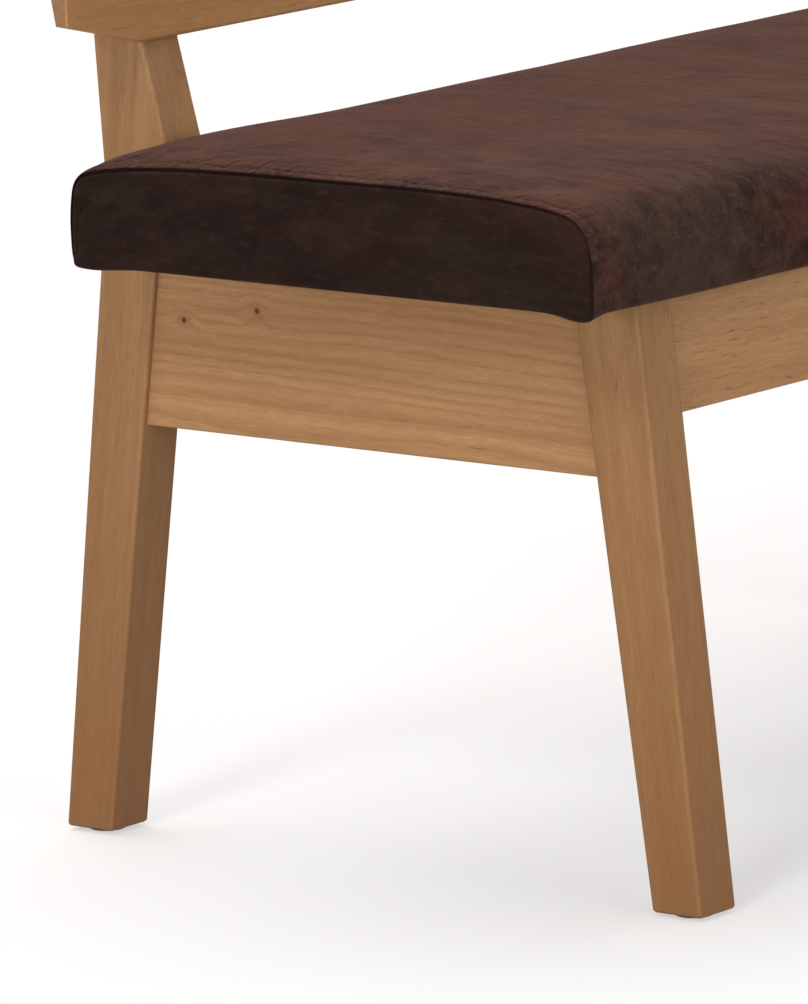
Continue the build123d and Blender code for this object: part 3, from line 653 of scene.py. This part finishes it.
def section_sides(section, smaller):
    """A section's rear, top, front and underside as dense polylines, which meet halfway round its bends."""
    rear, front, low, rear_top, crown, front_top, rear_radius, front_radius, draw_in = section
    rear, front, low = rear - draw_in, front + draw_in, low + LOW_RADIUS
    draw_in -= smaller * 0.5
    rear_low, front_low = (rear - LOW_RADIUS, low), (front + LOW_RADIUS, low)
    rear_high = (rear - rear_radius, rear_top - rear_radius)
    front_high = (front + front_radius, front_top - front_radius)
    share = np.linspace(0, 1, 80)
    shoulders = rear_top * (1 - share) + front_top * share
    crown = crown - smaller - (rear_top + front_top) / 2
    top = np.stack((rear_high[0] + (front_high[0] - rear_high[0]) * share,
                    shoulders + crown * (1 - (2 * share - 1) ** 4)), axis=1)
    rear_side = np.concatenate((
        arc(rear_low, LOW_RADIUS, -45, 0),
        bowed((rear, low), (rear, rear_high[1]), draw_in)[1:-1],
        arc(rear_high, rear_radius, 0, 45),
    ))
    top_side = np.concatenate((
        arc(rear_high, rear_radius, 45, 90)[:-1],
        top,
        arc(front_high, front_radius, 90, 135)[1:],
    ))
    front_side = np.concatenate((
        arc(front_high, front_radius, 135, 180),
        bowed((front, front_high[1]), (front, low), -draw_in)[1:-1],
        arc(front_low, LOW_RADIUS, 180, 225),
    ))
    under = np.concatenate((arc(front_low, LOW_RADIUS, 225, 270), arc(rear_low, LOW_RADIUS, 270, 315)))
    return rear_side, top_side, front_side, under


def distances_along(points):
    """How far along a polyline each of its points lies."""
    return np.concatenate(([0], np.cumsum(np.linalg.norm(np.diff(points, axis=0), axis=1))))


def under_shares(under, top_cells):
    """Where the underside's columns lie along it, with two close ones at each edge of the lining."""
    lengths = distances_along(under)
    backs = under[:, 0]
    inner = (backs[0] + HEM - 0.5, backs[0] + HEM + 0.5, backs[-1] - HEM - 0.5, backs[-1] - HEM + 0.5)
    marks = np.interp(inner, backs, lengths) / lengths[-1]
    edge_cells = max(1, top_cells // 12)
    middle_cells = top_cells - 2 * edge_cells - 2
    return np.concatenate((
        np.linspace(0, marks[0], edge_cells + 1),
        np.linspace(marks[1], marks[2], middle_cells + 1),
        np.linspace(marks[3], 1, edge_cells + 1),
    ))


def resampled(points, shares):
    """Points of a polyline at shares of its length."""
    lengths = distances_along(points)
    return np.stack([np.interp(shares * lengths[-1], lengths, points[:, axis]) for axis in (0, 1)], axis=1)


def section_columns(section, side_cells, top_cells, smaller=0.0):
    """A section as one ring of columns, which starts at the rear's lower corner."""
    sides = section_sides(section, smaller)
    shares = [np.linspace(0, 1, cells + 1) for cells in (side_cells, top_cells, side_cells)]
    shares.append(under_shares(sides[3], top_cells))
    return np.concatenate([resampled(*side)[:-1] for side in zip(sides, shares)])


def outward_normals(points):
    """Unit normals of a ring that runs with its inside on its left."""
    ahead = np.roll(points, -1, axis=0) - np.roll(points, 1, axis=0)
    normals = np.stack((ahead[:, 1], -ahead[:, 0]), axis=1)
    return normals / np.linalg.norm(normals, axis=1, keepdims=True)


def fade(values, nought, one):
    """Nought at one value and one at another, straight in between and level beyond."""
    return np.clip((values - nought) / (one - nought), 0, 1)


def hill(values, height, place, reach):
    """A bell curve of a height round a place."""
    return height * np.exp(-((values - place) / reach) ** 2)


def lowness(up):
    """One at the underside, fading to nought above it."""
    return fade(up - FULL_SECTION.low, *LOW_BAND)


def top_swell(along, back, up):
    """How far the cover's points rise over its flat section."""
    depth = (back - FULL_SECTION.front) / (FULL_SECTION.rear - FULL_SECTION.front)
    high = fade(up - FULL_SECTION.low, *SWELL_BAND)
    rise = hill(along, *END_SWELL) * (1 - REAR_SHARE + REAR_SHARE * depth)
    fuller = MIDDLE_RISE - hill(along, *LESS_SWELL)
    return (rise + fuller * fade(along, 0, RUN_UP)) * high


def corner_sag(along, back, up):
    """How far the lower corners of an end hang down."""
    return sum(hill(back, *sag) for sag in CORNER_SAGS) * hill(along, *SAG_FADE) * lowness(up)


def front_droop(along, back, up):
    """How far the lower front edge hangs down away from the seam."""
    return FRONT_DROOP * fade(back, *DROOP_BAND) * (1 - np.exp(-along / RUN_UP)) * lowness(up)


class CoverGrid:
    """A cover's points before stitching: rings of columns along the wing, and a grid on each end panel."""

    def __init__(self, length, smaller, side_cells, top_cells, cap_rings, panel_rings, step):
        self.length, self.side_cells, self.top_cells = length, side_cells, top_cells
        self.columns = section_columns(FULL_SECTION, side_cells, top_cells)
        self.seam_columns = section_columns(SEAM_SECTION, side_cells, top_cells)
        self.slimming = section_columns(FULL_SECTION, side_cells, top_cells, smaller) - self.columns
        self.normals = outward_normals(self.columns)
        self.cap_count = len(cap_rings)
        rings = list(cap_rings) + list(panel_rings)
        start = rings[-1][0] + step
        half_steps = int((length / 2 - start) / step)
        rings += [(along, 0.0, along, 0.0) for along in np.linspace(start, length / 2 - step / 2, half_steps)]
        self.rings = rings
        near = [self.ring_points(index) for index in range(len(rings))]
        far = [points * (-1, 1, 1) + (length, 0, 0) for points in reversed(near)]
        self.rows = np.array(near + far)
        self.caps = [self.end_panel(self.rows[0], -1), self.end_panel(self.rows[-1], 1)]

    def stations(self):
        """How far each ring lies from the near seam along the cover, below zero on the near end panel."""
        near = [-ring[1] if index < self.cap_count else ring[0] for index, ring in enumerate(self.rings)]
        return np.array(near + [self.length - station for station in reversed(near)])

    def places(self):
        """Each column's place round the section, one unit for each of its four sides."""
        side = np.arange(self.side_cells) / self.side_cells
        top = np.arange(self.top_cells) / self.top_cells
        return np.concatenate((side, 1 + top, 2 + side, 3 + top))

    def ring_points(self, index):
        """A ring's points: its section, swollen at the top, hanging at its lower edges, with the hem."""
        sewn_along, sewn_inset, low_along, low_inset = self.rings[index]
        unsewn = fade(self.columns[:, 1] - FULL_SECTION.low, *UNSEWN_BAND)
        along = sewn_along + (low_along - sewn_along) * unsewn
        inset = sewn_inset + (low_inset - sewn_inset) * unsewn
        fullness = 0 * along if index < self.cap_count else 1 - np.exp(-along / SECTION_BLEND)
        section = self.seam_columns + (self.columns - self.seam_columns) * fullness[:, None]
        section += self.slimming * (1 - np.exp(-along / SLIM_BLEND))[:, None]
        section -= self.normals * inset[:, None]
        back, up = section[:, 0], section[:, 1]
        inside_hem = (back > FULL_SECTION.front + HEM) & (back < FULL_SECTION.rear - HEM) & (unsewn >= 1)
        hem = HEM_RECESS * inside_hem * (along > HEM)
        rise = top_swell(along, back, up) - corner_sag(along, back, up) - front_droop(along, back, up)
        return np.stack((along, back, up + rise + hem), axis=1)

    def end_panel(self, ring, outward):
        """A grid of points over an end, from the ring round it, that bulges slightly outwards."""
        side, top = self.side_cells, self.top_cells
        closed = np.concatenate((ring, ring[:1]))
        rear = closed[:side + 1]
        high = closed[side:side + top + 1]
        front = closed[side + top:2 * side + top + 1][::-1]
        low = closed[2 * side + top:][::-1]
        rise = np.linspace(0, 1, side + 1)[:, None, None]
        ahead = np.linspace(0, 1, top + 1)[None, :, None]
        grid = low[None] * (1 - rise) + high[None] * rise
        grid = grid + rear[:, None] * (1 - ahead) + front[:, None] * ahead
        grid -= ((low[0] * (1 - ahead) + low[-1] * ahead) * (1 - rise)
                 + (high[0] * (1 - ahead) + high[-1] * ahead) * rise)
        fullness = (1 - (2 * rise[..., 0] - 1) ** 4) * (1 - (2 * ahead[..., 0] - 1) ** 12)
        grid[..., 0] += outward * CAP_BULGE * fullness
        return grid

    def end_indices(self, row, base):
        """The vertex numbers of an end panel's grid: its rim is a ring's, its inside starts at base."""
        side, top = self.side_cells, self.top_cells
        total = len(self.columns)
        numbers = np.empty((side + 1, top + 1), dtype=int)
        first = row * total
        numbers[:, 0] = first + np.arange(side + 1)
        numbers[side, :] = first + side + np.arange(top + 1)
        numbers[:, top] = first + side + top + np.arange(side, -1, -1)
        numbers[0, :] = first + (2 * side + top + np.arange(top, -1, -1)) % total
        numbers[1:side, 1:top] = base + np.arange((side - 1) * (top - 1)).reshape(side - 1, top - 1)
        return numbers

    def mesh(self):
        """Vertices, faces, and for each face its ring number, or minus one on an end panel."""
        count, total = self.rows.shape[:2]
        insides = [cap[1:-1, 1:-1].reshape(-1, 3) for cap in self.caps]
        vertices = np.concatenate((self.rows.reshape(-1, 3), *insides))
        faces = band_faces(0, count, total)
        kinds = np.repeat(np.arange(count - 1), total)
        near = self.end_indices(0, count * total)
        far = self.end_indices(count - 1, count * total + len(insides[0]))[:, ::-1]
        for grid in (near, far):
            quads = np.stack((grid[:-1, :-1], grid[:-1, 1:], grid[1:, 1:], grid[1:, :-1]), axis=-1)
            faces += quads.reshape(-1, 4).tolist()
        return vertices, faces, np.append(kinds, [-1] * (len(faces) - len(kinds)))


# How much smaller the cover starts before the simulation, and how far that may move a point
START_SMALLER = 3.0
SWELL_LIMIT = 6.0
# How firmly foam and seams hold the cover's points, and which points count as seam and underside
FOAM_HOLD = 0.24
SEAM_HOLD = 0.98
SEAM_WIDTH = 3.0
UNDERSIDE_HEIGHT = 3.0
CLOTH_FRAMES = 20
CLOTH_SETTINGS = {
    "vertex_group_mass": "pins",
    "vertex_group_shrink": "seams",
    "shrink_min": 0.0,
    "shrink_max": 0.03,
    "quality": 6,
    "mass": 0.35,
    "tension_stiffness": 22,
    "compression_stiffness": 22,
    "shear_stiffness": 10,
    "bending_stiffness": 1.2,
    "use_pressure": True,
    "uniform_pressure_force": 4.0,
}


def pin_trial(piece, trial):
    """Holds a trial cover: fast at its underside, almost fast at its seams and softly elsewhere."""
    stations = trial.stations()[:, None]
    at_seam = np.minimum(abs(stations), abs(trial.length - stations)) < SEAM_WIDTH
    under = trial.columns[:, 1] < FULL_SECTION.low + UNDERSIDE_HEIGHT
    hold = np.where(under, 1.0, np.where(at_seam, SEAM_HOLD, FOAM_HOLD))
    for name, weights in (("pins", hold), ("seams", at_seam & ~under)):
        group = piece.vertex_groups.new(name=name)
        for index in np.flatnonzero(weights).tolist():
            group.add([index], float(weights.flat[index]), "REPLACE")


def simulated_moves(piece, placed):
    """Runs a piece as cloth under pressure. Returns how far its points moved, in metres."""
    cloth = piece.modifiers.new("cloth", "CLOTH")
    for key, value in CLOTH_SETTINGS.items():
        setattr(cloth.settings, key, value)
    cloth.settings.effector_weights.gravity = 0.0
    cloth.point_cache.frame_start = 1
    cloth.point_cache.frame_end = CLOTH_FRAMES
    scene = bpy.context.scene
    for frame_number in range(1, CLOTH_FRAMES + 1):
        scene.frame_set(frame_number)
    evaluated = piece.evaluated_get(bpy.context.evaluated_depsgraph_get())
    moved = np.empty(len(placed) * 3)
    evaluated.data.vertices.foreach_get("co", moved)
    scene.frame_set(1)
    return moved.reshape(-1, 3) - placed


def swollen(wing, start, trial):
    """Swells a trial cover as cloth. Returns the moves of its rows and its end panels, in millimetres."""
    vertices, faces, _ = trial.mesh()
    placed = wing.world(vertices + (start, 0, 0))
    piece = mesh_object("cloth_trial", placed, faces, [])
    pin_trial(piece, trial)
    moved = simulated_moves(piece, placed)
    bpy.data.objects.remove(piece, do_unlink=True)
    moves = moved @ wing.axes.T / MM
    size = np.linalg.norm(moves, axis=1, keepdims=True)
    moves *= np.minimum(1.0, SWELL_LIMIT / np.maximum(size, 1e-9))
    count, total = trial.rows.shape[:2]
    rows = moves[:count * total].reshape(count, total, 3)
    near = trial.end_indices(0, count * total)
    far = trial.end_indices(count - 1, near.max() + 1)
    return rows, (moves[near], moves[far])


def between(values, at, axis_places, axis):
    """Linear interpolation of an array along one axis."""
    return np.apply_along_axis(lambda line: np.interp(at, axis_places, line), axis, values)


def add_swelling(grid, wing, start):
    """Moves a cover's points as the cloth simulation moved the trial cover's."""
    trial = CoverGrid(grid.length, START_SMALLER, *TRIAL_GRID)
    rows, ends = swollen(wing, start, trial)
    closed = np.concatenate((rows, rows[:, :1]), axis=1)
    closed = between(closed, grid.places(), np.append(trial.places(), 4), 1)
    grid.rows += between(closed, grid.stations(), trial.stations(), 0)
    for cap, moves in zip(grid.caps, ends):
        across = between(moves, np.linspace(0, 1, cap.shape[1]), np.linspace(0, 1, moves.shape[1]), 1)
        cap += between(across, np.linspace(0, 1, cap.shape[0]), np.linspace(0, 1, moves.shape[0]), 0)


def foam_lumps(rows, seed):
    """Slight unevenness of the foam at each point of a cover's rows."""
    places = [Vector(point) for point in rows.reshape(-1, 3) * LUMP_SCALE + (seed, 0, 0)]
    lumps = [0.75 * noise.noise(place) + 0.25 * noise.noise(place * 3.1) for place in places]
    return np.reshape(lumps, rows.shape[:2])


def add_unevenness(grid, seed):
    """Adds slight lumps of foam and short puckers close to the seams."""
    waves = np.array([noise.noise(Vector((place * 0.08, seed * 5.1, 0)))
                      + 0.5 * noise.noise(Vector((place * 0.17, seed * 2.3, 4)))
                      for place in distances_along(grid.columns)])
    stations = grid.stations()
    from_seam = np.minimum(stations, grid.length - stations)
    puckers = waves[None] * np.where(from_seam > 0, hill(from_seam, *PUCKERS), 0)[:, None]
    free = fade(grid.columns[:, 1] - FULL_SECTION.low, *LUMP_BAND)
    on_panel = fade(from_seam, 0, SEAM_WIDTH)
    lumps = foam_lumps(grid.rows, seed) * LUMPS * on_panel[:, None]
    moves = (lumps + puckers) * free
    grid.rows[:, :, 1:] += moves[:, :, None] * grid.normals[None]


# The order of a cover's materials
PANEL, END, GROOVE = 0, 1, 2


def cover_surfaces(grid, kinds):
    """Each face's material: the end panels, the groove along the seams with painted shade, or the main panel.
    """
    from_end = np.minimum(kinds, len(grid.rows) - 2 - kinds)
    on_end = from_end < grid.cap_count - 1
    return np.select((on_end, from_end <= grid.cap_count), (END, GROOVE), PANEL).tolist()


def stitch_paths(grid, wing, start):
    """The lines of topstitching beside the two seams, each with its directions away from the cloth."""
    sewn = 2 * grid.side_cells + grid.top_cells
    away = grid.normals[:sewn] @ wing.axes[1:]
    first = grid.cap_count + STITCH_RING
    rows = (first, len(grid.rows) - 1 - first)
    return [(wing.world(grid.rows[row, :sewn] + (start, 0, 0)), away) for row in rows]


def make_seat(name, wing, start, length, seed, cover):
    """A seat sewn from a main panel and two end panels. Returns it and the paths of its topstitching."""
    smaller = START_SMALLER
    grid = CoverGrid(length, smaller, *SEWN_GRID)
    add_swelling(grid, wing, start)
    add_unevenness(grid, seed)
    vertices, faces, kinds = grid.mesh()
    piece = mesh_object(name, wing.world(vertices + (start, 0, 0)), faces, [cover, SHADED_END_COVER, SEAM_SHADE_COVER],
                        cover_surfaces(grid, kinds))
    subdivide = piece.modifiers.new("smooth", "SUBSURF")
    subdivide.levels = 1
    subdivide.render_levels = 1
    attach(piece, "root")
    return piece, stitch_paths(grid, wing, start)


# The outline of a stitch: shares of its length and of its radius
STITCH_OUTLINE = ((0.0, 0.35), (0.15, 0.85), (0.5, 1.0), (0.85, 0.85), (1.0, 0.35))
STITCH_PITCH = 7.6 * MM
STITCH_LENGTH = 5.0 * MM
STITCH_RADIUS = 0.42 * MM
STITCH_LIFT = 0.7 * MM
STITCH_SIDES = 6


def stitch(first, final, away):
    """The points of one stitch, which bows out from the cloth between two points."""
    run = (final - first) / np.linalg.norm(final - first)
    away = away - run * away.dot(run)
    away /= np.linalg.norm(away)
    side = np.cross(run, away)
    points = []
    for share, width in STITCH_OUTLINE:
        rise = STITCH_LIFT * (1 - (2 * share - 1) ** 2) - STITCH_RADIUS * 0.5
        spot = first + run * STITCH_LENGTH * share + away * rise
        points += [spot + (away * y + side * x) * STITCH_RADIUS * width for x, y in circle(STITCH_SIDES)]
    return points


def stitches(name, paths):
    """Short thread stitches laid along paths."""
    vertices, faces = [], []
    for path, directions in paths:
        around = distances_along(path)

        def at(values, place):
            return np.array([np.interp(place, around, values[:, axis]) for axis in range(3)])

        for place in np.arange(STITCH_PITCH, around[-1] - STITCH_PITCH, STITCH_PITCH):
            away = at(directions, place + STITCH_LENGTH / 2)
            faces += tube_faces(len(vertices), len(STITCH_OUTLINE), STITCH_SIDES)
            vertices += stitch(at(path, place), at(path, place + STITCH_LENGTH), away)
    piece = mesh_object(name, vertices, faces, [THREAD])
    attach(piece, "root")


long_seat, long_paths = make_seat("long_seat", LONG, -SEAT_OVERHANG, LONG_SEAT_LENGTH, 2.0, LONG_COVER)
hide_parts("long_seat_cover", "long_seat_foam")
short_seat, short_paths = make_seat("short_seat", SHORT, SHORT_SEAT_START, SHORT_SEAT_LENGTH, 7.0,
                                    SHORT_COVER)
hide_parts("short_seat_cover", "short_seat_foam")
stitches("long_seat_stitching", long_paths)
stitches("short_seat_stitching", short_paths)


# Fasteners and glides. A head is a list of rings from the shank up, each a radius and a height.

HEAD_RADIUS = 4.6 * MM
SHANK_RADIUS = 2.3 * MM
SUNK_HEAD = (
    (SHANK_RADIUS, -3.0 * MM),
    (HEAD_RADIUS * 0.97, -0.25 * MM),
    (HEAD_RADIUS, -0.05 * MM),
    (HEAD_RADIUS * 0.96, 0.02 * MM),
)
DOMED_HEAD = (
    (SHANK_RADIUS, 0.0),
    (HEAD_RADIUS, 0.05 * MM),
    (HEAD_RADIUS, 0.9 * MM),
    (HEAD_RADIUS * 0.88, 2.0 * MM),
    (HEAD_RADIUS * 0.62, 2.7 * MM),
)
SCREW_SIDES = 24
# The cross recess: an arm's length and half width, its depth, and how much narrower its ground is
CROSS_ARM = HEAD_RADIUS * 0.48
CROSS_HALF = HEAD_RADIUS * 0.11
CROSS_DEPTH = 1.6 * MM
CROSS_TAPER = 0.45
# How far the CAD's domed heads stand out from the wood
CAD_HEAD_HEIGHT = 2.98 * MM
# Points this close to a screw's outermost one belong to its face
FACE_BAND = 0.8 * MM


def cross_corners():
    """The twelve corners of a cross recess, once round."""
    quarter = ((CROSS_ARM, -CROSS_HALF), (CROSS_ARM, CROSS_HALF), (CROSS_HALF, CROSS_HALF))
    return [(x * cosine - y * sine, x * sine + y * cosine) for cosine, sine in circle(4) for x, y in quarter]


def head_faces(rim, top, low, count):
    """Faces from a head's rim to its recess, with two sides of the rim to each corner, and the recess."""
    faces = []
    for corner in range(count):
        following = (corner + 1) % count
        first = 2 * (corner - 1) % SCREW_SIDES
        after = (first + 2) % SCREW_SIDES
        faces.append((rim + first, rim + first + 1, top + corner))
        faces.append((rim + first + 1, rim + after, top + corner))
        faces.append((rim + after, top + following, top + corner))
        faces.append((top + corner, top + following, low + following, low + corner))
    faces.append(tuple(range(low, low + count)))
    return faces


def cross_screw(place, outward, length, head):
    """Vertices and faces of a screw with a cross recess in its head."""
    side = outward.orthogonal().normalized()
    axes = np.array((side, outward.cross(side), outward))
    rings = ((SHANK_RADIUS, -length), *head)
    points = [(radius * x, radius * y, height) for radius, height in rings for x, y in circle(SCREW_SIDES)]
    top = len(points)
    corners = cross_corners()
    low = top + len(corners)
    face_height = head[-1][1]
    points += [(x, y, face_height) for x, y in corners]
    points += [(x * CROSS_TAPER, y * CROSS_TAPER, face_height - CROSS_DEPTH) for x, y in corners]
    faces = band_faces(0, len(rings), SCREW_SIDES)
    faces.append(tuple(reversed(range(SCREW_SIDES))))
    faces += head_faces(top - SCREW_SIDES, top, low, len(corners))
    return (place + points @ axes).tolist(), faces


def separate_solids(node_name):
    """The points of each of a CAD node's separate solids, in the row frame."""
    node = nodes[node_name]
    work = bmesh.new()
    work.from_mesh(node.data)
    bmesh.ops.remove_doubles(work, verts=work.verts, dist=0.02 * MM)
    seen = set()
    solids = []
    for start in work.verts:
        if start in seen:
            continue
        seen.add(start)
        linked = [start]
        for vertex in linked:
            neighbours = [edge.other_vert(vertex) for edge in vertex.link_edges]
            fresh = [other for other in neighbours if other not in seen]
            seen.update(fresh)
            linked += fresh
        solids.append(np.array([node.matrix_world @ vertex.co for vertex in linked]))
    work.free()
    return solids


def screw_group(name, node, outward_of, length, head, sunk_by=0.0):
    """One piece for a CAD node's screws, each placed by its own points and moved in by a distance."""
    vertices, faces = [], []
    for points in separate_solids(node):
        outward = Vector(outward_of(points)).normalized()
        reach = points @ np.array(outward)
        middle = points[reach > reach.max() - FACE_BAND].mean(axis=0)
        place = middle - np.array(outward) * sunk_by
        more, more_faces = cross_screw(place, outward, length, head)
        faces += [tuple(len(vertices) + index for index in face) for face in more_faces]
        vertices += more
    piece = mesh_object(name, vertices, faces, [STEEL], smooth=False)
    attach(piece, "root")
    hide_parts(node)


def rest_screw_direction(points):
    """Square to the posts: backwards on the long wing, and to the right on the short one."""
    middle = points.mean(axis=0)
    return (0, 1, -0.2) if middle[1] > 0.6 and middle[0] < 0.9 else (1, 0, -0.2)


def seat_screw_direction(points):
    """Straight down."""
    return (0, 0, -1)


def bracket_screw_direction(points):
    """Out of the apron that the screw runs into, which its longer side tells."""
    size = points.max(axis=0) - points.min(axis=0)
    return (0, -1, 0) if size[1] > size[0] else (1, 0, 0)


screw_group("rest_screw_heads", "backrest_screws", rest_screw_direction, 44 * MM, SUNK_HEAD)
screw_group("seat_screw_heads", "seat_screws", seat_screw_direction, 42 * MM, DOMED_HEAD, CAD_HEAD_HEIGHT)
screw_group("bracket_screw_heads", "bracket_screws", bracket_screw_direction, 15 * MM, DOMED_HEAD,
            CAD_HEAD_HEIGHT)

GLIDE_SIDES = 40
# A glide's outline round its rim to its dished face, as radii and heights in millimetres
GLIDE_OUTLINE = (
    (0.0, 3.0), (12.2, 3.0), (12.9, 2.6), (13.0, 2.0), (12.9, 1.0),
    (12.3, 0.3), (11.4, 0.0), (8.0, 0.0), (7.2, 0.35), (0.0, 0.4),
)


def merge_and_face_out(mesh):
    """Merges points that fall together and turns all faces outwards."""
    work = bmesh.new()
    work.from_mesh(mesh)
    bmesh.ops.remove_doubles(work, verts=work.verts, dist=0.01 * MM)
    bmesh.ops.recalc_face_normals(work, faces=work.faces)
    work.to_mesh(mesh)
    work.free()


def make_glides():
    """Turned plastic glides with a rounded rim and a dished face, for the CAD's plain discs."""
    vertices, faces = [], []
    for points in separate_solids("glides"):
        centre = (points.min(axis=0) + points.max(axis=0)) / 2
        faces += band_faces(len(vertices), len(GLIDE_OUTLINE), GLIDE_SIDES)
        for radius, height in GLIDE_OUTLINE:
            vertices += [(centre[0] + radius * MM * x, centre[1] + radius * MM * y, height * MM)
                         for x, y in circle(GLIDE_SIDES)]
    piece = mesh_object("foot_glides", vertices, faces, [GLIDE])
    merge_and_face_out(piece.data)
    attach(piece, "root")
    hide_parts("glides")


make_glides()


# Studio: a wide pale floor, soft light and a white surround

def seen_directly(n):
    """One where a ray comes from the camera, a mirror or glass, and nought where it carries light."""
    path = n.new("ShaderNodeLightPath").outputs
    mirrored = n.math("MAXIMUM", path["Is Camera Ray"], path["Is Glossy Ray"])
    return n.math("MAXIMUM", mirrored, path["Is Transmission Ray"])


FLOOR_REACH = 120
# The floor's own glow where it is seen, which keeps it almost white
FLOOR_GLOW = (0.55, 0.539, 0.532, 1)
WORLD_LIGHT = (0.40, 0.40, 0.41, 1)


def make_floor():
    """A pale floor that looks almost white where no shadow falls."""
    mesh = bpy.data.meshes.new("studio_floor")
    corners = [(x * FLOOR_REACH, y * FLOOR_REACH, 0) for x, y in ((-1, -1), (1, -1), (1, 1), (-1, 1))]
    mesh.from_pydata(corners, [], [(0, 1, 2, 3)])
    floor = bpy.data.objects.new("studio_floor", mesh)
    bpy.context.scene.collection.objects.link(floor)
    n = Nodes("studio_floor")
    seen = seen_directly(n)
    grain = n.noise(n.place(), 3.0, 2.0)
    lighting = n.ramp(grain, (0.2, (0.44, 0.435, 0.43)), (0.8, (0.46, 0.455, 0.45)))
    shown = n.ramp(grain, (0.2, (0.455, 0.450, 0.445)), (0.8, (0.475, 0.470, 0.465)))
    glow = n.mix(seen, (0, 0, 0, 1), FLOOR_GLOW)
    n.link(glow, n.shader.inputs["Emission Color"])
    mesh.materials.append(n.finish(n.mix(seen, lighting, shown), n.span(grain, 0.2, 0.8, 0.75, 0.8),
                                   Specular_IOR_Level=0.0, Emission_Strength=1.0))


def make_world():
    """Even grey light from all round, which looks white where it is seen."""
    n = Nodes("studio", "worlds")
    n.link(n.mix(seen_directly(n), WORLD_LIGHT, (1, 1, 1, 1)), n.tree.nodes["Background"].inputs["Color"])
    bpy.context.scene.world = n.owner


def sun(name, toward, share, degrees):
    """Soft light from a direction. A pale face turned to it shows this share of its own colour."""
    data = bpy.data.lights.new(name, "SUN")
    data.energy = math.pi * share
    data.angle = math.radians(degrees)
    light = bpy.data.objects.new(name, data)
    light.rotation_euler = Vector(toward).to_track_quat("Z", "Y").to_euler()
    bpy.context.scene.collection.objects.link(light)


make_floor()
make_world()
sun("key", (-0.97, -0.20, 0.12), 0.44, 16)
sun("upper_key", (-0.76, -0.18, 0.62), 0.22, 14)
sun("front_fill", (-0.25, -0.95, 0.10), 0.42, 35)
sun("top_fill", (0.15, 0.28, 0.95), 0.48, 50)
